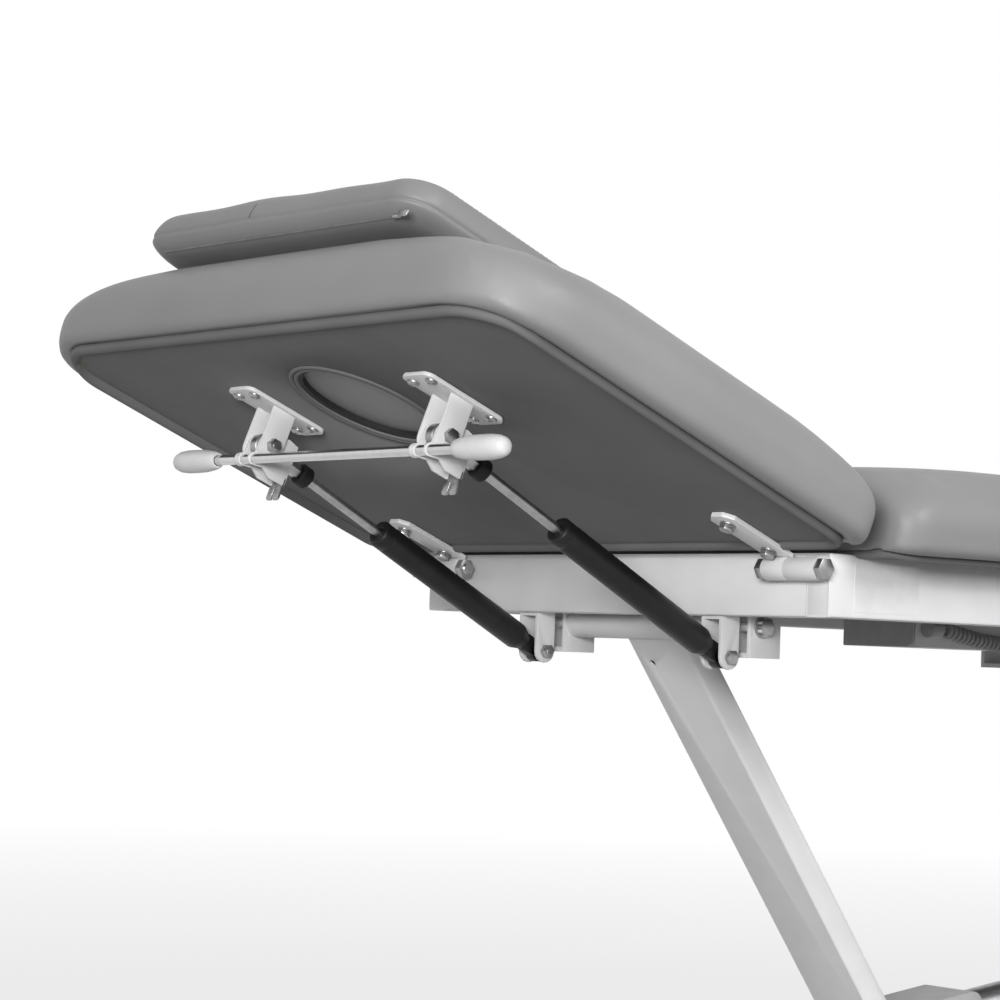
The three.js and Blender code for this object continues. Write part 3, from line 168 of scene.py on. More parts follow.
def add_floor(size, shadow_reach):
    """A floor seen as white from afar, with a soft shadow near the bed, that throws little light back."""
    bm = bmesh.new()
    bmesh.ops.create_grid(bm, x_segments=1, y_segments=1, size=size / 2)
    mesh = bpy.data.meshes.new("floor")
    bm.to_mesh(mesh)
    bm.free()
    floor = bpy.data.objects.new("floor", mesh)
    bpy.context.scene.collection.objects.link(floor)
    surface = bpy.data.materials.new("studio_floor")
    surface.use_nodes = True
    nodes, links = surface.node_tree.nodes, surface.node_tree.links
    paper = nodes["Principled BSDF"]
    paper.inputs["Base Color"].default_value = FLOOR_COLOUR
    paper.inputs["Roughness"].default_value = 0.9
    glow = nodes.new("ShaderNodeEmission")
    blend = nodes.new("ShaderNodeMixShader")
    distance = nodes.new("ShaderNodeVectorMath")
    distance.operation = "LENGTH"
    links.new(nodes.new("ShaderNodeTexCoord").outputs["Object"], distance.inputs[0])
    whiteness = nodes.new("ShaderNodeMapRange")
    whiteness.inputs["From Min"].default_value = shadow_reach / 3
    whiteness.inputs["From Max"].default_value = shadow_reach
    whiteness.inputs["To Min"].default_value = FLOOR_WHITENESS
    whiteness.inputs["To Max"].default_value = 1
    links.new(distance.outputs["Value"], whiteness.inputs["Value"])
    share = nodes.new("ShaderNodeMath")
    share.operation = "MULTIPLY"
    links.new(seen_directly(nodes, links), share.inputs[0])
    links.new(whiteness.outputs["Result"], share.inputs[1])
    links.new(share.outputs[0], blend.inputs["Fac"])
    links.new(paper.outputs["BSDF"], blend.inputs[1])
    links.new(glow.outputs["Emission"], blend.inputs[2])
    links.new(blend.outputs["Shader"], nodes["Material Output"].inputs["Surface"])
    mesh.materials.append(surface)


# Surfaces

def linear(grey, tint=(0, 0, 0)):
    """A colour from a grey of 0 to 255 as it is seen, with a small tint."""
    shown = [(grey + shift) / 255 for shift in tint]
    return [(c / 12.92 if c <= 0.04045 else ((c + 0.055) / 1.055) ** 2.4) for c in shown] + [1.0]


class Surface:
    """A named material and the few node chains that the bed's surfaces share."""

    def __init__(self, name, grey, roughness, metallic=0.0, tint=(0, 0, 0)):
        self.material = bpy.data.materials.new(name)
        self.material.use_nodes = True
        self.tree = self.material.node_tree
        self.shader = self.tree.nodes["Principled BSDF"]
        self.shader.inputs["Base Color"].default_value = linear(grey, tint)
        self.shader.inputs["Roughness"].default_value = roughness
        self.shader.inputs["Metallic"].default_value = metallic
        self.place = self.tree.nodes.new("ShaderNodeTexCoord").outputs["Object"]
        self.height = None

    def texture(self, kind, scale, **settings):
        node = self.tree.nodes.new(kind)
        node.inputs["Scale"].default_value = scale
        for key, value in settings.items():
            if key in node.inputs:
                node.inputs[key].default_value = value
            else:
                setattr(node, key, value)
        self.tree.links.new(self.place, node.inputs["Vector"])
        return node

    def mapped(self, value, low, high):
        span = self.tree.nodes.new("ShaderNodeMapRange")
        span.inputs["To Min"].default_value = low
        span.inputs["To Max"].default_value = high
        self.tree.links.new(value, span.inputs["Value"])
        return span.outputs["Result"]

    def mottled(self, low, high, scale, tint=(0, 0, 0), detail=3.0):
        """Colour that wanders between two greys."""
        noise = self.texture("ShaderNodeTexNoise", scale, Detail=detail)
        ramp = self.tree.nodes.new("ShaderNodeValToRGB")
        ramp.color_ramp.elements[0].position = 0.35
        ramp.color_ramp.elements[0].color = linear(low, tint)
        ramp.color_ramp.elements[1].position = 0.65
        ramp.color_ramp.elements[1].color = linear(high, tint)
        self.tree.links.new(noise.outputs["Fac"], ramp.inputs["Fac"])
        self.tree.links.new(ramp.outputs["Color"], self.shader.inputs["Base Color"])
        return self

    def uneven(self, low, high, scale):
        """Roughness that wanders, as on a handled or plated surface."""
        noise = self.texture("ShaderNodeTexNoise", scale, Detail=4.0)
        self.tree.links.new(self.mapped(noise.outputs["Fac"], low, high), self.shader.inputs["Roughness"])
        return self

    def raised(self, value, depth, strength):
        """One more layer of bump, over those already there."""
        bump = self.tree.nodes.new("ShaderNodeBump")
        bump.inputs["Strength"].default_value = strength
        bump.inputs["Distance"].default_value = depth
        self.tree.links.new(value, bump.inputs["Height"])
        if self.height:
            self.tree.links.new(self.height, bump.inputs["Normal"])
        self.height = bump.outputs["Normal"]
        self.tree.links.new(self.height, self.shader.inputs["Normal"])
        return self

    def pebbled(self, scale, depth, strength):
        """The pressed grain of upholstery vinyl."""
        cells = self.texture("ShaderNodeTexVoronoi", scale, feature="DISTANCE_TO_EDGE")
        return self.raised(cells.outputs["Distance"], depth, strength)

    def rippled(self, scale, depth, strength, detail=4.0):
        noise = self.texture("ShaderNodeTexNoise", scale, Detail=detail)
        return self.raised(noise.outputs["Fac"], depth, strength)


WOOD_TINT = (28, 6, -22)
BLACK_SPECULAR = 0.3


def bed_surfaces():
    def vinyl(name, grey):
        return (Surface(name, grey, 0.46).mottled(grey - 4, grey + 4, 5).uneven(0.42, 0.54, 40)
                .rippled(9, 0.006, 0.12, 2.0).pebbled(620, 0.0004, 0.25).rippled(1500, 0.0002, 0.25))

    def plated(name, low, high, roughness):
        return (Surface(name, high, roughness, 1.0).mottled(low, high, 90)
                .uneven(roughness * 0.8, roughness * 1.3, 120).rippled(700, 0.0001, 0.12))

    def moulded(name, grey, roughness, grain):
        return (Surface(name, grey, roughness).mottled(grey - 3, grey + 3, 60)
                .uneven(roughness * 0.85, roughness * 1.2, 70).rippled(grain, 0.0003, 0.2))

    surfaces = {
        "pad_vinyl": vinyl("pad_vinyl", 138),
        "pillow_vinyl": vinyl("pillow_vinyl", 132),
        "underside_cloth": Surface("underside_cloth", 112, 0.72).mottled(109, 115, 12)
        .rippled(14, 0.004, 0.25, 2.0).rippled(900, 0.0003, 0.3),
        # The near black of the face hole's wall is painted shade: it stands for the shadow inside the hole.
        "hole_wall_painted_shade": Surface("hole_wall_painted_shade", 28, 0.8).mottled(24, 32, 60).rippled(700, 0.0003, 0.3),
        "board_wood": Surface("board_wood", 120, 0.7, tint=WOOD_TINT).mottled(104, 134, 30, WOOD_TINT)
        .rippled(300, 0.0003, 0.3),
        "white_paint": Surface("white_paint", 236, 0.36).mottled(234, 238, 30).uneven(0.32, 0.42, 60)
        .rippled(420, 0.0003, 0.12),
        "zinc_steel": plated("zinc_steel", 156, 172, 0.34),
        "chrome": plated("chrome", 200, 206, 0.18),
        "black_paint": moulded("black_paint", 24, 0.42, 500),
        "black_rubber": moulded("black_rubber", 24, 0.62, 600),
        "white_plastic": moulded("white_plastic", 236, 0.4, 700),
        "grey_plastic": moulded("grey_plastic", 186, 0.55, 900),
        "cord_plastic": moulded("cord_plastic", 182, 0.5, 900),
        "thread": moulded("thread", 92, 0.8, 2500),
        "label_film": moulded("label_film", 238, 0.3, 900),
    }
    for name in ("black_paint", "black_rubber"):
        surfaces[name].shader.inputs["Specular IOR Level"].default_value = BLACK_SPECULAR
    return surfaces


surfaces = bed_surfaces()


# Shapes

def piece(bm, name, place, body, surface, stands_for=(), crease=38):
    """A mesh in the row frame that rides on a body and stands for its CAD nodes."""
    bmesh.ops.recalc_face_normals(bm, faces=bm.faces[:])
    bm.transform(place)
    mesh = bpy.data.meshes.new(name)
    bm.to_mesh(mesh)
    bm.free()
    mesh.materials.append(surfaces[surface].material)
    mesh.shade_smooth()
    mesh.set_sharp_from_angle(angle=math.radians(crease))
    return shown(bpy.data.objects.new(name, mesh), body, surface, stands_for)


def shown(obj, body, surface, stands_for=()):
    bpy.context.scene.collection.objects.link(obj)
    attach(obj, body)
    if stands_for:
        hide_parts(*stands_for)
    return obj


def merge(bm, part, place):
    part.transform(place)
    mesh = bpy.data.meshes.new("part")
    part.to_mesh(mesh)
    part.free()
    bm.from_mesh(mesh)
    bpy.data.meshes.remove(mesh)


def soften(bm, width, angle=32, segments=2):
    """Rounds every edge where two faces meet at more than the angle."""
    edges = [e for e in bm.edges if len(e.link_faces) == 2 and e.calc_face_angle() > math.radians(angle)]
    bmesh.ops.bevel(bm, geom=edges, offset=width, offset_type="OFFSET", segments=segments, profile=0.5,
                    affect="EDGES", clamp_overlap=True, material=-1)


def slab(bm, outline, thickness, place=Matrix(), rounding=0.0, edge=0.5):
    """A plate with this outline, its middle plane on its own XY plane."""
    part = bmesh.new()
    part.faces.new([part.verts.new((x, y, -thickness / 2)) for x, y in outline])
    if rounding:
        bmesh.ops.bevel(part, geom=part.verts[:], offset=rounding, offset_type="OFFSET", segments=6,
                        profile=0.5, affect="VERTICES", clamp_overlap=True, material=-1)
    made = bmesh.ops.extrude_face_region(part, geom=part.faces[:])["geom"]
    raised = [item for item in made if isinstance(item, bmesh.types.BMVert)]
    bmesh.ops.translate(part, vec=(0, 0, thickness), verts=raised)
    if edge:
        soften(part, edge, 50)
    merge(bm, part, place)


def turned(bm, profile, place=Matrix(), steps=40, edge=0.0):
    """A lathe shape round its own X axis, from pairs of distance along and radius."""
    part = bmesh.new()
    verts = [part.verts.new((along, radius, 0)) for along, radius in profile]
    edges = [part.edges.new(pair) for pair in zip(verts, verts[1:])]
    bmesh.ops.spin(part, geom=verts + edges, cent=(0, 0, 0), axis=(1, 0, 0), angle=FULL_TURN, steps=steps,
                   use_merge=True)
    bmesh.ops.remove_doubles(part, verts=part.verts[:], dist=0.001)
    if edge:
        soften(part, edge)
    merge(bm, part, place)


def rod(bm, radius, start, end, place=Matrix(), steps=32, edge=0.4):
    turned(bm, [(start, 0), (start, radius), (end, radius), (end, 0)], place, steps, edge)


def sleeve(bm, outer, inner, start, end, place=Matrix(), edge=0.4):
    turned(bm, [(start, inner), (start, outer), (end, outer), (end, inner), (start, inner)], place, 40, edge)


def hexagon(bm, flats, start, end, place=Matrix(), edge=0.7):
    part = bmesh.new()
    radius = flats / math.sqrt(3)
    bmesh.ops.create_cone(part, cap_ends=True, segments=6, radius1=radius, radius2=radius, depth=end - start)
    soften(part, edge)
    merge(bm, part, place @ moved(x=(start + end) / 2) @ ALONG_Z)


def block(bm, size, centre, place=Matrix(), edge=0.6):
    part = bmesh.new()
    bmesh.ops.create_cube(part, size=1, matrix=Matrix.Translation(centre) @ Matrix.Diagonal((*size, 1)))
    soften(part, edge)
    merge(bm, part, place)


def threaded(bm, radius, start, end, place=Matrix(), pitch=1.25):
    """The bare end of a screw, as a stack of fine ridges."""
    count = max(1, round((end - start) / pitch))
    profile = [(start, 0)]
    for turn in range(count):
        along = start + (end - start) * turn / count
        profile += [(along, radius * 0.9), (along + (end - start) / count / 2, radius)]
    turned(bm, profile + [(end, radius * 0.85), (end, 0)], place, 24)


def arc(cx, cy, radius, start, end, steps=8):
    angles = [math.radians(start + (end - start) * step / steps) for step in range(steps + 1)]
    return [(cx + radius * math.cos(a), cy + radius * math.sin(a)) for a in angles]


def ring_edges(bm, points):
    verts = [bm.verts.new(p) for p in points]
    return [bm.edges.new(pair) for pair in zip(verts, verts[1:] + verts[:1])]


def loft(bm, rings, closed_ends=True, tube=False):
    """Skins a stack of rings, closing the first and last with a face or joining them to each other."""
    loops = [ring_edges(bm, ring) for ring in rings]
    pairs = list(zip(loops, loops[1:])) + ([(loops[-1], loops[0])] if tube else [])
    for lower, upper in pairs:
        bmesh.ops.bridge_loops(bm, edges=lower + upper)
    if closed_ends and not tube:
        for loop in (loops[0], loops[-1]):
            bmesh.ops.edgeloop_fill(bm, edges=loop)
    return loops


def curve_through(name, points, radius, body, surface, cyclic=False, stands_for=()):
    """A round cord or piping on a line of points in metres."""
    line = bpy.data.curves.new(name, "CURVE")
    line.dimensions = "3D"
    line.bevel_depth = radius
    line.bevel_resolution = 3
    line.use_fill_caps = not cyclic
    spline = line.splines.new("POLY")
    spline.points.add(len(points) - 1)
    for knot, point in zip(spline.points, points):
        knot.co = (*point, 1)
    spline.use_cyclic_u = cyclic
    line.materials.append(surfaces[surface].material)
    return shown(bpy.data.objects.new(name, line), body, surface, stands_for)


def dressed(node, surface, edge=0.8):
    """A CAD node with its edges rounded and its round faces smooth."""
    bm = bmesh.new()
    bm.from_mesh(frame["nodes"][node].data)
    bmesh.ops.remove_doubles(bm, verts=bm.verts[:], dist=0.000002)
    bmesh.ops.dissolve_limit(bm, angle_limit=math.radians(1), verts=bm.verts[:], edges=bm.edges[:])
    soften(bm, edge / 1000)
    return piece(bm, f"{node}_finished", Matrix(), frame["nodes"][node]["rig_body"], surface, (node,))


# The hand control's curly cord, on the route that its solid follows

CORD_START = Vector((429.3, -62.3, -46))
CORD_TAIL_Y = -64
HANDSET_Y = -314.6
CORD_TAIL = [(628, 0, -58), (642, 0.04, -62), (652, 0.128, -72), (658, 0.263, -90), (660, 0.423, -114),
             (660, 0.583, -136), (660, 0.742, -156), (660, 0.87, -170), (660, 0.95, -174), (660, 0.99, -166),
             (660, 1, -156), (660, 1, -150), (660, 1, -147.2)]
CORD_RADIUS = 2
CURLS = 25
CURL_PITCH = 7
CURL_RADIUS = 7
CURL_STEPS = 16


def curled_route():
    """The cord's line: a short straight lead, the curls, which sag a little, and the plain tail."""
    tail = [Vector((x, CORD_TAIL_Y + (HANDSET_Y - CORD_TAIL_Y) * across, z)) for x, across, z in CORD_TAIL]
    lead = CORD_START + Vector((2 * CORD_RADIUS, 0, 0))
    points = [CORD_START, lead]
    for step in range(CURLS * CURL_STEPS + 1):
        share = step / (CURLS * CURL_STEPS)
        turn = share * CURLS * FULL_TURN
        ease = min(1, share * CURLS * 2, (1 - share) * CURLS * 2)
        middle = CORD_START.z + (tail[0].z - CORD_START.z) * share - math.sin(share * math.pi) * CURL_RADIUS
        points.append(Vector((lead.x + CURL_PITCH / 2 + CURLS * CURL_PITCH * share,
                              CORD_START.y + ease * CURL_RADIUS * math.sin(turn),
                              middle + ease * CURL_RADIUS * math.cos(turn))))
    return [BED @ point for point in points + tail]


def add_handset_cord():
    route = curled_route()
    cord = curve_through("handset_curly_cord", route, CORD_RADIUS / 1000, "upper_frame", "cord_plastic",
                         stands_for=("handset_cord",))


# Cushions

UNDERSIDE = 15.7
PAD_HALF = 356
PAD_BULGE = 22
BULGE_RISE = 32
SIDE_ROUND = 97
CROWN = 6
CORNER_GROWTH = 120
HEM_SAG = 4.5
HEM_SAG_RUN = 20
HEAD_PAD = {"low": -494, "high": -9, "low_corner": 72, "high_corner": 26, "low_bulge": 18, "high_bulge": 6,
            "low_round": 44, "high_round": 72, "shoulder": 58}
BODY_PAD = {"low": 42, "high": 1390, "low_corner": 26, "high_corner": 90, "low_bulge": 6, "high_bulge": 18,
            "low_round": 72, "high_round": 44, "shoulder": 54}
HOLE_MIDDLE = -337
HOLE_HALVES = (70, 60)
PAD_TOP = UNDERSIDE + BULGE_RISE + HEAD_PAD["shoulder"] + CROWN


def rounded_ring(low, high, half, low_corner, high_corner, rise, steps=(14, 20), corner_steps=7):
    """Points round a rectangle with round corners, counter-clockwise from above."""
    widest = min(half, (high - low) / 2) * 0.9
    low_r, high_r = (max(0.5, min(corner, widest)) for corner in (low_corner, high_corner))
    corners = [(high - high_r, half - high_r, high_r), (low + low_r, half - low_r, low_r),
               (low + low_r, low_r - half, low_r), (high - high_r, high_r - half, high_r)]
    points = []
    for turn, (x, y, r) in enumerate(corners):
        points += arc(x, y, r, 90 * turn, 90 * turn + 90, corner_steps)
        following = corners[(turn + 1) % 4]
        end = arc(following[0], following[1], following[2], 90 * turn + 90, 90 * turn + 90, 1)[0]
        start = points[-1]
        count = steps[turn % 2]
        points += [(start[0] + (end[0] - start[0]) * s / count, start[1] + (end[1] - start[1]) * s / count)
                   for s in range(1, count)]
    return [Vector((x, y, rise)) for x, y in points]


def smooth_share(value, low, high):
    share = min(1, max(0, (value - low) / (high - low)))
    return share * share * (3 - 2 * share)


def near_side(y):
    """How close to a long side, from 0 inside the hem's sag to 1 at the hem."""
    return smooth_share(abs(y), PAD_HALF - HEM_SAG_RUN, PAD_HALF)


def pad_ring(pad, share, rise, back=0.0, run=0.0, sag=0.0, steps=(14, 20)):
    """One ring of a pad: share of its bulge, then how far round its shoulder and in over its crown."""
    ring = rounded_ring(
        pad["low"] - pad["low_bulge"] * share + pad["low_round"] * back + run,
        pad["high"] + pad["high_bulge"] * share - pad["high_round"] * back - run,
        PAD_HALF + PAD_BULGE * share - SIDE_ROUND * back - run,
        pad["low_corner"] + max(pad["low_bulge"] * share, 0) + CORNER_GROWTH * back,
        pad["high_corner"] + max(pad["high_bulge"] * share, 0) + CORNER_GROWTH * back,
        UNDERSIDE + rise, steps)
    return [Vector((p.x, p.y, p.z - sag * near_side(p.y))) for p in ring]


# Share of the bulge and rise, then shares of the way up to the widest place, then run and rise over the crown
TUCK_RINGS = ((-0.9, 10.5), (-0.42, 8.5), (-0.16, 4.4), (0.0, 1.2))
BULGE_SHARES = (0.07, 0.2, 0.4, 0.62, 0.82, 1.0)
BULGE_START = 0.6
BULGE_POWER = 2.2
SHOULDER_STEPS = 9
CROWN_RINGS = ((14, 1.4), (30, 3.0), (50, 4.4), (72, 5.3), (95, 5.8))


def pad_rings(pad, steps):
    """Rings from the tuck behind the hem, round the side and shoulder, to the middle of the top."""
    rings = [pad_ring(pad, share, rise, sag=HEM_SAG, steps=steps) for share, rise in TUCK_RINGS]
    for share in BULGE_SHARES:
        out = (1 - (1 - share) ** BULGE_POWER) ** (1 / BULGE_POWER)
        rise = BULGE_START + (BULGE_RISE - BULGE_START) * share
        rings.append(pad_ring(pad, out, rise, sag=HEM_SAG * (1 - share), steps=steps))
    for step in range(1, SHOULDER_STEPS + 1):
        angle = math.radians(90 // SHOULDER_STEPS * step)
        rise = BULGE_RISE + pad["shoulder"] * math.sin(angle)
        rings.append(pad_ring(pad, 1, rise, 1 - math.cos(angle), steps=steps))
    top = BULGE_RISE + pad["shoulder"]
    for run, rise in CROWN_RINGS:
        rings.append(pad_ring(pad, 1, top + rise, 1, run, steps=steps))
    return rings


HELD_HEIGHT = 8
SWELL_CAP = 0.004
VOXEL = 0.006
SWELL_PRESSURE = 4
SWELL_FRAMES = 20
EVENING_PASSES = 6


def baked(obj):
    """The mesh that an object's modifiers make, put in the place of its own."""
    result = bpy.data.meshes.new_from_object(obj.evaluated_get(bpy.context.evaluated_depsgraph_get()))
    obj.modifiers.clear()
    plain, obj.data = obj.data, result
    bpy.data.meshes.remove(plain)


def evened(mesh):
    """Takes the voxels' small steps out of a swelled cover."""
    bm = bmesh.new()
    bm.from_mesh(mesh)
    for _ in range(EVENING_PASSES):
        bmesh.ops.smooth_vert(bm, verts=bm.verts[:], factor=0.5,
                              use_axis_x=True, use_axis_y=True, use_axis_z=True)
    bm.to_mesh(mesh)
    bm.free()


def plumped(obj, held_below, cap):
    """Swells a cushion cover like cloth over its foam, held along the hem and never further than the cap."""
    remesh = obj.modifiers.new("even", "REMESH")
    remesh.mode = "VOXEL"
    remesh.voxel_size = VOXEL
    baked(obj)
    mesh = obj.data
    held = obj.vertex_groups.new(name="held")
    held.add([v.index for v in mesh.vertices if v.co.z < held_below], 1, "REPLACE")
    before = [v.co.copy() for v in mesh.vertices]
    cloth = obj.modifiers.new("cover", "CLOTH")
    cloth.settings.quality = 4
    cloth.settings.use_pressure = True
    cloth.settings.uniform_pressure_force = SWELL_PRESSURE
    cloth.settings.vertex_group_mass = "held"
    cloth.settings.effector_weights.gravity = 0
    cloth.point_cache.frame_end = SWELL_FRAMES
    for step in range(1, SWELL_FRAMES + 1):
        bpy.context.scene.frame_set(step)
    baked(obj)
    for vertex, start in zip(obj.data.vertices, before):
        shift = vertex.co - start
        if shift.length > cap:
            vertex.co = start + shift * (cap / shift.length)
    bpy.context.scene.frame_set(1)
    obj.vertex_groups.clear()
    evened(obj.data)


def cushion(name, pad, steps, place, body, surface, node):
    """A pad built in its own frame, swelled there and then brought to its place."""
    bm = bmesh.new()
    loft(bm, pad_rings(pad, steps))
    obj = piece(bm, name, MM, body, surface, (node,), crease=70)
    plumped(obj, (UNDERSIDE + HELD_HEIGHT) / 1000, SWELL_CAP)
    settle(obj, place, surface)
    return obj


def settle(obj, place, surface):
    """Takes a piece made in its own frame to the row frame, and smooths it once."""
    obj.data.transform(place @ MM.inverted())
    obj.data.materials.clear()
    obj.data.materials.append(surfaces[surface].material)
    obj.data.shade_smooth()
    obj.modifiers.new("smooth", "SUBSURF").levels = 1


WELT_OUT = -8.5
WELT_RADIUS = 5.2
WELT_RISE = 1.6
WELT_STEPS = 12
WELT_START = 75
WELT_TURN = 22
TUCK = 2.6
TUCK_FROM_STEP = 9
TUCK_HALF_WIDTH = 4
FAR_FROM_TUCK = 9
LINING_CORNERS = (72, 40)
LINING_CORNER_STEPS = 24
LINING_THICKNESS = 0.0012
# Distance out from the hem, rise, sag and tuck
VALLEY_RINGS = ((-15, 1.6, 1, TUCK), (-18.5, 0.4, 0.3, TUCK), (-25, 0, 0, 0.6), (-40, 0, 0, 0))
RIM_OUT = 4


def lining_ring(pad, out, rise, sag=0.0, tuck=0.0, steps=(14, 20)):
    """A ring of the lining: sagging along the sides, and tucked in at the middle of each corner."""
    half = PAD_HALF + out
    low, high = pad["low"] - out, pad["high"] + out
    radii = LINING_CORNERS if pad is HEAD_PAD else LINING_CORNERS[::-1]
    corners = [max(2, radius + out) for radius in radii]
    points = []
    for point in rounded_ring(low, high, half, *corners, UNDERSIDE + rise, steps, LINING_CORNER_STEPS):
        corner = corners[0] if point.x < (low + high) / 2 else corners[1]
        end = low + corner if point.x < (low + high) / 2 else high - corner
        along, across = point.x - end, abs(point.y) - (half - corner)
        in_corner = along * (end - (low + high) / 2) > 0 and across > 0
        off_middle = abs(abs(along) - across) / TUCK_HALF_WIDTH if in_corner else FAR_FROM_TUCK
        points.append(point + Vector((0, 0, tuck * math.exp(-off_middle ** 2) - sag * near_side(point.y))))
    return points


def lining(name, pad, steps, place, body, node, hole):
    """The cloth under a pad: a rolled edge, a shallow valley and the flat middle."""
    rings = []
    for step in range(WELT_STEPS):
        angle = math.radians(WELT_START - step * WELT_TURN)
        out = WELT_OUT + WELT_RADIUS * math.cos(angle)
        rise = WELT_RISE + WELT_RADIUS * math.sin(angle)
        rings.append(lining_ring(pad, out, rise, HEM_SAG, TUCK if step >= TUCK_FROM_STEP else 0, steps))
    rings += [lining_ring(pad, *ring, steps) for ring in VALLEY_RINGS]
    bm = bmesh.new()
    inner = loft(bm, rings, closed_ends=False)[-1]
    if hole:
        rim = ring_edges(bm, oval(HOLE_HALVES[0] + RIM_OUT, HOLE_HALVES[1] + RIM_OUT, UNDERSIDE))
        rim_verts = {vert for edge in rim for vert in edge.verts}
        bmesh.ops.triangle_fill(bm, edges=inner + rim, use_beauty=True)
        lid = [face for face in bm.faces if all(vert in rim_verts for vert in face.verts)]
        bmesh.ops.delete(bm, geom=lid, context="FACES_ONLY")
    else:
        bmesh.ops.edgeloop_fill(bm, edges=inner)
    obj = piece(bm, name, place, body, "underside_cloth", (node,), crease=70)
    thick = obj.modifiers.new("cloth", "SOLIDIFY")
    thick.thickness = LINING_THICKNESS
    thick.offset = -1
    return obj


def oval(half_x, half_y, z, steps=56):
    return [Vector((HOLE_MIDDLE + half_x * math.cos(a), half_y * math.sin(a), z))
            for a in (FULL_TURN * step / steps for step in range(steps))]


# Middle and radius of each roll of the rim, then distance out and rise of the wall's and the plug's rings
RIM_ROLLS = ((9.6, 2.5), (4.6, 2.2))
RIM_ROLL_STEPS = 12
RIM_RISE = 0.4
HOLE_WALL = [(2.4, 0.2), (-0.2, 2), (-0.2, 19.5), (-1.4, 19.5), (-1.4, 1.4)]
PLUG_RISE = 20.1


def face_hole():
    """Double rolled rim of the face hole, its wall painted near black for the shade inside the hole, and the
    plug seen inside.
    """
    bm = bmesh.new()
    for middle, radius in RIM_ROLLS:
        profile = [(middle + radius * math.cos(a), RIM_RISE + radius * math.sin(a))
                   for a in (FULL_TURN * step / RIM_ROLL_STEPS for step in range(RIM_ROLL_STEPS))]
        loft(bm, [oval(HOLE_HALVES[0] + o, HOLE_HALVES[1] + o, UNDERSIDE + z) for o, z in profile], tube=True)
    piece(bm, "face_hole_rim", HEAD, "head_section", "underside_cloth", crease=70)
    bm = bmesh.new()
    loft(bm, [oval(HOLE_HALVES[0] + o, HOLE_HALVES[1] + o, UNDERSIDE + z) for o, z in HOLE_WALL], tube=True)
    # The wall's near black colour is painted shade inside the face hole.
    piece(bm, "face_hole_wall", HEAD, "head_section", "hole_wall_painted_shade", crease=70)
    bm = bmesh.new()
    low, high = UNDERSIDE + PLUG_RISE, PAD_TOP - 1
    rings = [(-14, low + 0.4), (-7, low + 1.2), (-3.4, low + 3.5), (-1.6, low + 8), (-1.2, high - 8),
             (-2.4, high - 3), (-6, high - 0.6), (-14, high)]
    loft(bm, [oval(HOLE_HALVES[0] + o, HOLE_HALVES[1] + o, z) for o, z in rings])
    plug = piece(bm, "face_hole_cushion", HEAD, "head_section", "underside_cloth", ("face_hole_plug",),
                 crease=70)


PILLOW = {"low": -502, "high": -262, "half": 218, "corner": 34, "offset": 17}
PILLOW_GAP = 0.3
# Distance in from the edge and rise of each ring; the ones near 18 are the seam's groove
PILLOW_RINGS = [(26, 1), (14, 4.4), (6, 9), (1.6, 13.5), (0.4, 16.2), (1.7, 17.6), (1.7, 18.8), (0.2, 20.2),
                (0.2, 25), (2.4, 34), (6, 41), (12, 45.8), (22, 49), (36, 51.2), (58, 53), (84, 53.6)]
STITCH = (3.4, 0.9, 0.8)
STITCH_PITCH = 6
STITCH_ROWS = ((19, 48.6), (25, 50.1))
PANEL_SEAM_Y = 48
PANEL_SEAM_RINGS = slice(7, 13)


def pillow_ring(inset, rise, steps=(24, 40)):
    """A ring of the pillow, whose panels bulge a little more between its corners."""
    ring = rounded_ring(PILLOW["low"] + inset, PILLOW["high"] - inset, PILLOW["half"] - inset,
                        PILLOW["corner"], PILLOW["corner"], PAD_TOP + PILLOW_GAP + rise, steps, 14)
    lift = rise / PILLOW_RINGS[-1][1]

    def fullness(y):
        return lift * (1.5 * math.sin(y / 47 + 1) + 0.9 * math.sin(y / 21))
    return [p + Vector((0, PILLOW["offset"], fullness(p.y))) for p in ring]


def along_ring(points, spacing):
    """Evenly spaced places on a closed ring, each with its direction."""
    places, left = [], 0.0
    for a, b in zip(points, points[1:] + points[:1]):
        step = (b - a).length
        while left < step:
            places.append((a.lerp(b, left / step), (b - a).normalized()))
            left += spacing
        left -= step
    return places


def facing(direction, up=Vector((0, 0, 1))):
    """A turn that takes X to the direction and keeps Z near up."""
    across = up.cross(direction).normalized()
    return Matrix((direction, across, direction.cross(across))).transposed().to_4x4()


def pillow_sewing():
    """Twin rows of stitches round the top, and the short seam across the head-side panel."""
    bm = bmesh.new()
    for inset, rise in STITCH_ROWS:
        for place, direction in along_ring(pillow_ring(inset, rise), STITCH_PITCH):
            block(bm, STITCH, (0, 0, 0), Matrix.Translation(place) @ facing(direction), edge=0.25)
    piece(bm, "pillow_stitches", HEAD, "head_section", "thread")
    line = [HEAD @ Vector((PILLOW["low"] + inset, PANEL_SEAM_Y, PAD_TOP + PILLOW_GAP + rise))
            for inset, rise in PILLOW_RINGS[PANEL_SEAM_RINGS]]
    curve_through("pillow_panel_seam", line, 0.0006, "head_section", "thread")


ZIP_FROM, ZIP_TO = 200, -172
ZIP_INSET, ZIP_RISE = 12.5, 5.4
ZIP_LEAN = math.radians(40)
ZIP_PITCH = 2.6
ZIP_TOOTH = (1.6, 1.5, 2.2)
ZIP_SLIDER = (4, 9, 6)
ZIP_PULL = [(0, -2.6), (24, -3.4), (24, 3.4), (0, 2.6)]
ZIP_PULL_TURN = math.radians(-104)
ZIP_PULL_DROOP = math.radians(12)


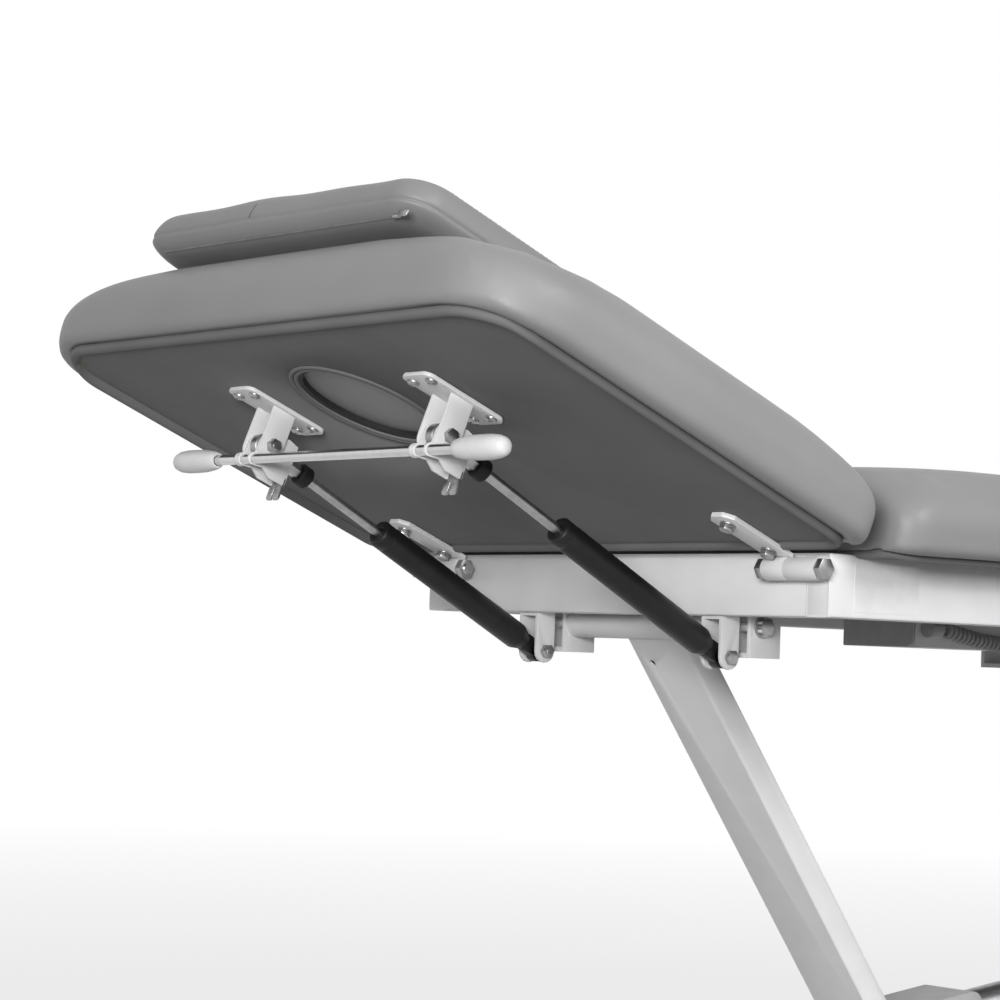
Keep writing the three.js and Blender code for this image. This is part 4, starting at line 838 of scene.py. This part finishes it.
def pillow_zip():
    """Teeth low on the head-side panel, with the slider and its pull at the near end."""
    bm = bmesh.new()
    lean = Matrix.Rotation(ZIP_LEAN, 4, "Y")
    x, z = PILLOW["low"] + ZIP_INSET, PAD_TOP + ZIP_RISE
    count = round((ZIP_FROM - ZIP_TO) / ZIP_PITCH)
    for tooth in range(count):
        y = ZIP_TO + (ZIP_FROM - ZIP_TO) * tooth / count
        block(bm, ZIP_TOOTH, (0, 0, 0), moved(x, y, z) @ lean, edge=0)
    block(bm, ZIP_SLIDER, (0, 0, 0), moved(x - 0.6, ZIP_TO - 2, z) @ lean, edge=1)
    hang = Matrix.Rotation(ZIP_PULL_TURN, 4, "Z") @ Matrix.Rotation(ZIP_PULL_DROOP, 4, "Y") @ UPRIGHT
    slab(bm, ZIP_PULL, 1.4, moved(x - 2.4, ZIP_TO - 4, z + 1) @ hang, 2, 0.3)
    piece(bm, "pillow_zip", HEAD, "head_section", "zinc_steel")


def pillow():
    bm = bmesh.new()
    loft(bm, [pillow_ring(inset, rise) for inset, rise in PILLOW_RINGS])
    obj = piece(bm, "head_pillow_cushion", MM, "head_section", "pillow_vinyl", ("head_pillow",), crease=70)
    settle(obj, HEAD, "pillow_vinyl")
    pillow_sewing()
    pillow_zip()


def cushions():
    cushion("head_cushion", HEAD_PAD, (14, 20), HEAD, "head_section", "pad_vinyl", "head_pad")
    cushion("body_cushion", BODY_PAD, (20, 36), BED, "upper_frame", "pad_vinyl", "body_pad")
    lining("head_lining", HEAD_PAD, (14, 20), HEAD, "head_section", "head_underside", True)
    lining("body_lining", BODY_PAD, (20, 36), BED, "upper_frame", "body_underside", False)
    face_hole()
    pillow()


# Gas springs

SPRING_RUN = math.cos(TILT) * UPPER_PIVOT_ALONG + math.sin(TILT) * UPPER_PIVOT_DROP + LOWER_PIVOT_X
SPRING_RISE = math.sin(TILT) * UPPER_PIVOT_ALONG - math.cos(TILT) * UPPER_PIVOT_DROP + LOWER_PIVOT_DROP
SPRING_LENGTH = math.hypot(SPRING_RUN, SPRING_RISE)
SPRING_ANGLE = math.atan2(SPRING_RISE, SPRING_RUN)
TUBE_PROFILE = [(20, 0), (20, 8.4), (22, 9.6), (31, 13.4), (33, 14), (226, 14), (227.4, 13.3), (228.6, 14),
                (239.5, 14), (241.4, 12.6), (242, 10.8), (241, 5.4), (236, 5.4), (236, 0)]
EYE_HALF = 5.5
ROD_RADIUS = 5
ROD_START = 112
ROD_HEAD_PROFILE = [(-5.6, 8.8), (-5.6, 11), (-4.6, 12.4), (4.6, 12.4), (5.6, 11), (5.6, 8.8), (-5.6, 8.8)]
BUMPER_FROM_PIVOT = 55
BUMPER_PROFILE = [(-6.5, 5.3), (-6.5, 9.6), (-5, 11), (5, 11), (6.5, 9.6), (6.5, 5.3), (-6.5, 5.3)]


def gas_spring(side_name, side):
    """Built from its lower pivot along its own X axis, which points at the upper pivot."""
    place = BED @ moved(LOWER_PIVOT.x, side * SPRING_HALF_SPACING, LOWER_PIVOT.z) \
        @ Matrix.Rotation(math.pi + SPRING_ANGLE, 4, "Y")
    cylinder, ram = f"{side_name}_cylinder", f"{side_name}_ram"
    bm = bmesh.new()
    turned(bm, TUBE_PROFILE, steps=48)
    sleeve(bm, 11, 4.3, -EYE_HALF, EYE_HALF, ALONG_Y)
    block(bm, (20, 11, 18), (11, 0, 0), edge=1.5)
    piece(bm, f"{side_name}_gas_tube", place, cylinder, "black_paint", (f"{side_name}_spring_cylinder",))
    bm = bmesh.new()
    rod(bm, ROD_RADIUS, ROD_START, SPRING_LENGTH - 20)
    hexagon(bm, 13, SPRING_LENGTH - BUMPER_FROM_PIVOT + 7, SPRING_LENGTH - 14)
    turned(bm, ROD_HEAD_PROFILE, moved(SPRING_LENGTH) @ ALONG_Y, 40)
    piece(bm, f"{side_name}_gas_rod", place, ram, "zinc_steel", (f"{side_name}_spring_rod",))
    bm = bmesh.new()
    middle = SPRING_LENGTH - BUMPER_FROM_PIVOT
    turned(bm, [(middle + along, radius) for along, radius in BUMPER_PROFILE], steps=40)
    piece(bm, f"{side_name}_rod_stop", place, ram, "black_rubber", (f"{side_name}_spring_bumper",))


# Brackets, levers and the release bar

PLATE_TOP = UNDERSIDE - 0.3
PLATE_THICKNESS = 4
PLATE_OUTLINE = [(-50, -21), (50, -21), (50, 21), (-50, 21)]
PLATE_SCREWS = ((-38, -13), (-38, 13), (38, -13), (38, 13))
EAR_RADIUS = 13.5
EAR_THICKNESS = 3
EAR_OFFSET = 13.5


def spring_bracket(side_name, side):
    """Bent plate under the head board: a flat base, two ears with round ends, and four screws."""
    bm = bmesh.new()
    place = HEAD @ moved(y=side * SPRING_HALF_SPACING)
    middle = PLATE_TOP - PLATE_THICKNESS / 2
    slab(bm, PLATE_OUTLINE, PLATE_THICKNESS, moved(UPPER_PIVOT.x, 0, middle), 9, 0.8)
    ear = [(EAR_RADIUS, middle), (-EAR_RADIUS, middle)]
    ear += arc(0, UPPER_PIVOT.z - 2.5, EAR_RADIUS, 180, 360, 14)
    for y in (-EAR_OFFSET, EAR_OFFSET):
        slab(bm, ear, EAR_THICKNESS, moved(UPPER_PIVOT.x, y, 0) @ UPRIGHT, edge=0.7)
    piece(bm, f"{side_name}_bracket_plate", place, "head_section", "white_paint",
          (f"{side_name}_spring_bracket",))
    bm = bmesh.new()
    for x, y in PLATE_SCREWS:
        pan_screw(bm, moved(UPPER_PIVOT.x + x, y, PLATE_TOP - PLATE_THICKNESS) @ DOWNWARD)
    piece(bm, f"{side_name}_bracket_screws", place, "head_section", "zinc_steel")


def pan_screw(bm, place, radius=6.0, height=3.4):
    """A domed head whose top faces its own +X, with a cross recess pressed in."""
    part = bmesh.new()
    turned(part, [(0, 0), (0, radius), (height * 0.45, radius * 0.97), (height * 0.8, radius * 0.72),
                  (height, radius * 0.4)], steps=24)
    rim = [e for e in part.edges if e.is_boundary and e.verts[0].co.x > height / 2]
    crossed = []
    for turn in range(24):
        angle = FULL_TURN * turn / 24
        reach = radius * (0.36 if turn % 6 in (0, 1, 5) else 0.12)
        crossed.append(part.verts.new((height * 0.55, reach * math.cos(angle), reach * math.sin(angle))))
    loop = [part.edges.new(pair) for pair in zip(crossed, crossed[1:] + crossed[:1])]
    bmesh.ops.bridge_loops(part, edges=rim + loop)
    bmesh.ops.edgeloop_fill(part, edges=loop)
    merge(bm, part, place)


M8 = {"radius": 4, "flats": 13, "head": 5.5, "nut": 6.5, "stud": 2.0}
M12 = {"radius": 6, "flats": 19, "head": 7.5, "nut": 8, "stud": 3.0}
HINGE_PIN_Y = 265.25


def cross_bolt(name, node, place, body, side, grip, radius, flats, head, nut, stud):
    """A bolt along Y with its head on the outer side, its nut and the threads that stand out of the nut."""
    bm = bmesh.new()
    half = grip / 2
    turn = outward(side)
    rod(bm, radius, -half - nut, half, turn, edge=0)
    hexagon(bm, flats, half, half + head, turn)
    hexagon(bm, flats, -half - nut, -half, turn)
    threaded(bm, radius, -half - nut - stud, -half - nut + 0.5, turn)
    piece(bm, name, place, body, "zinc_steel", (node,))


def pivot_bolts(side_name, side):
    """The bolts of a gas spring's upper and lower pivots, and of a head hinge."""
    y = side * SPRING_HALF_SPACING
    cross_bolt(f"{side_name}_bracket_pin", f"{side_name}_bracket_bolt",
               HEAD @ moved(UPPER_PIVOT.x, y, UPPER_PIVOT.z), "head_section", side, 30.6, **M8)
    cross_bolt(f"{side_name}_clevis_pin", f"{side_name}_clevis_bolt",
               BED @ moved(LOWER_PIVOT.x, y, LOWER_PIVOT.z), "upper_frame", side, 29.6, **M8)
    cross_bolt(f"{side_name}_hinge_pin", f"{side_name}_hinge_bolt",
               BED @ moved(y=side * HINGE_PIN_Y), "upper_frame", side, 70.1, **M12)


BAR_X, BAR_Z = -10.8, -18.5
BAR_OFFSET = 3
BAR_HALF = 250
LEVER_PLATE = 2.5
LEVER_CHEEK = 8.75
LEVER_OUTLINE = ([(0, 12)] + arc(0, 0, 12, 90, 180, 8) + [(-12, -11.5)] + arc(BAR_X, BAR_Z, 6.8, 110, 250, 8)
                 + [(2, -22), (11.5, -28), (32, -28), (32, 14), (20, 16.5)])
LEVER_TAB = [(-10, 8), (-10, -13), (-8, -15), (-1.7, -15), (-1.7, -4), (1.7, -4), (1.7, -15), (8, -15),
             (10, -13), (10, 8)]
LEVER_TAB_X, LEVER_TAB_Z = 30.75, -28


def release_lever(side_name, side):
    """Two thin cheeks that hold the bar, and a plated tab across them with a slot for the cable's knot."""
    place = RELEASE @ moved(y=side * SPRING_HALF_SPACING)
    bm = bmesh.new()
    for y in (-LEVER_CHEEK, LEVER_CHEEK):
        slab(bm, LEVER_OUTLINE, LEVER_PLATE, moved(y=y) @ UPRIGHT, edge=0.6)
    piece(bm, f"{side_name}_lever_cheeks", place, "release", "white_paint", (f"{side_name}_release_lever",))
    bm = bmesh.new()
    slab(bm, LEVER_TAB, LEVER_PLATE, moved(LEVER_TAB_X, 0, LEVER_TAB_Z) @ ALONG_Y @ UPRIGHT, edge=0.5)
    piece(bm, f"{side_name}_lever_tab", place, "release", "zinc_steel")


GRIP_PROFILE = [(0, 5.3), (0, 7.2), (1.5, 8.2), (8, 9.6), (20, 11.1), (34, 11.5), (50, 11.5), (60, 10.6),
                (66.5, 8.8), (69.8, 6.2), (71, 3), (71.2, 0)]
GRIP_BORE = [(63, 0), (63, 5.3), (0, 5.3)]
GRIP_MOUTH_Y = 187.3
COLLAR_PROFILE = [(-2.5, 5.2), (-2.5, 6.2), (-1.5, 6.8), (1.5, 6.8), (2.5, 6.2), (2.5, 5.2), (-2.5, 5.2)]
COLLAR_FROM_CHEEK = 4


def release_bar():
    """The plated bar, a collar beside each lever and the grips at its ends."""
    bm = bmesh.new()
    rod(bm, 5, -BAR_HALF, BAR_HALF, ALONG_Y, 32, 0.8)
    piece(bm, "release_cross_bar", RELEASE @ moved(BAR_X, BAR_OFFSET, BAR_Z), "release", "chrome",
          ("release_bar",))
    bm = bmesh.new()
    for side in SIDES.values():
        middle = side * SPRING_HALF_SPACING + LEVER_CHEEK + COLLAR_FROM_CHEEK
        turned(bm, COLLAR_PROFILE, moved(y=middle) @ ALONG_Y, 36)
    piece(bm, "release_bar_collars", RELEASE @ moved(BAR_X, 0, BAR_Z), "release", "white_plastic")
    for side_name, side in SIDES.items():
        bm = bmesh.new()
        turned(bm, GRIP_PROFILE + GRIP_BORE, steps=40)
        place = RELEASE @ moved(BAR_X, side * GRIP_MOUTH_Y + BAR_OFFSET, BAR_Z) @ outward(side)
        piece(bm, f"{side_name}_oval_grip", place, "release", "white_plastic", (f"{side_name}_release_grip",))


# Hinges and frame

STRAP_Y = 245
STRAP_THICKNESS = 5
STRAP_OUTLINE = [(0, -14.5), (0, 14.5), (-9, 16), (-85, 16), (-94, 7), (-94, -7), (-85, -16), (-9, -16)]
STRAP_SCREWS = (77, 19)
SLEEVE_HALF = 14.5


def hinge_strap(side_name, side):
    """Welded strap and sleeve of a head hinge, then its two screws with washers."""
    bottom = PLATE_TOP - STRAP_THICKNESS
    bm = bmesh.new()
    slab(bm, STRAP_OUTLINE, STRAP_THICKNESS, moved(z=PLATE_TOP - STRAP_THICKNESS / 2), edge=0.9)
    sleeve(bm, 11, 6.5, -SLEEVE_HALF, SLEEVE_HALF, ALONG_Y, 0.8)
    place = HEAD @ moved(y=side * STRAP_Y)
    piece(bm, f"{side_name}_hinge_strap", place, "head_section", "white_paint", (f"{side_name}_hinge_arm",))
    bm = bmesh.new()
    for along in STRAP_SCREWS:
        down = moved(-along, 0, bottom) @ DOWNWARD
        rod(bm, 8, -0.2, 1.5, down, edge=0.3)
        hexagon(bm, 13, 1.5, 7, down)
    piece(bm, f"{side_name}_strap_screws", place, "head_section", "zinc_steel")


RAIL_MIDDLE = 285
RAIL_LOW = -44.6
RAIL_HEIGHT = 60
FRAME_HEAD_X = 12
LABEL = {"x": 90, "z": -15.5, "length": 88, "height": 46}
ARM_BOLT_FLATS = 16.6
ARM_TOP_PLACES = ((67.3, -54), (767.3, -54))
ARM_BOX_FACE = 158


def rail_ends():
    """Welded caps that close the head ends of both side rails, and the bare plate on the right rail."""
    for side_name, side in SIDES.items():
        bm = bmesh.new()
        centre = (FRAME_HEAD_X + 1.7, side * RAIL_MIDDLE, RAIL_LOW + RAIL_HEIGHT / 2)
        block(bm, (3, 29.4, RAIL_HEIGHT - 0.6), centre, edge=0.4)
        piece(bm, f"{side_name}_rail_cap", BED, "upper_frame", "white_paint")
    bm = bmesh.new()
    half_length, half_height = LABEL["length"] / 2, LABEL["height"] / 2
    slab(bm, [(-half_length, -half_height), (half_length, -half_height), (half_length, half_height),
              (-half_length, half_height)], 0.3, moved(LABEL["x"], -300.2, LABEL["z"]) @ UPRIGHT, 2.5, 0)
    piece(bm, "rail_plate", BED, "upper_frame", "label_film")


def arm_bolts():
    """The plated heads at the lift arms' upper pivots, each on its washer."""
    bm = bmesh.new()
    for x, z in ARM_TOP_PLACES:
        for side in SIDES.values():
            place = moved(x, side * ARM_BOX_FACE, z) @ outward(side)
            rod(bm, 11.3, -0.1, 1.9, place, edge=0.4)
            hexagon(bm, ARM_BOLT_FLATS, 1.9, 8.4, place)
    piece(bm, "arm_pivot_bolt_heads", BED, "upper_frame", "zinc_steel")


PAINTED_NODES = ("left_side_rail", "right_side_rail", "head_cross_tube", "middle_cross_tube",
                 "foot_cross_tube", "head_lift_arm", "foot_lift_arm", "left_floor_rail", "right_floor_rail",
                 "floor_head_tube", "floor_middle_tube", "floor_foot_tube", "actuator_lug")


def frame_parts():
    """The nodes that keep their CAD shape, with rounded edges, and what the frame carries besides."""
    for node in PAINTED_NODES:
        dressed(node, "white_paint")
    for node in ("control_box", "handset_up_button", "handset_down_button"):
        dressed(node, "white_plastic")
    for node in ("control_box_cover", "handset", "actuator_motor"):
        dressed(node, "grey_plastic", 1.2)
    dressed("cord_gland", "cord_plastic")
    dressed("handset_hook", "zinc_steel", 0.4)
    dressed("actuator_tube", "zinc_steel")
    dressed("actuator_rod", "chrome", 0.4)
    for corner in ("head_left", "head_right", "foot_left", "foot_right"):
        dressed(f"{corner}_levelling_foot", "black_rubber")
    for node in ("head_board", "body_board"):
        frame["nodes"][node].data.materials.clear()
        frame["nodes"][node].data.materials.append(surfaces["board_wood"].material)
    rail_ends()
    arm_bolts()


add_camera()
light_world(WORLD_LEVEL)
add_floor(FLOOR_SIZE, SHADOW_REACH)
add_lamp("key", **KEY_LAMP)
add_lamp("front", **FRONT_LAMP)
add_handset_cord()
cushions()
for side_name, side in SIDES.items():
    gas_spring(side_name, side)
    spring_bracket(side_name, side)
    pivot_bolts(side_name, side)
    release_lever(side_name, side)
    hinge_strap(side_name, side)
release_bar()
frame_parts()
bpy.context.scene.view_settings.view_transform = "Standard"
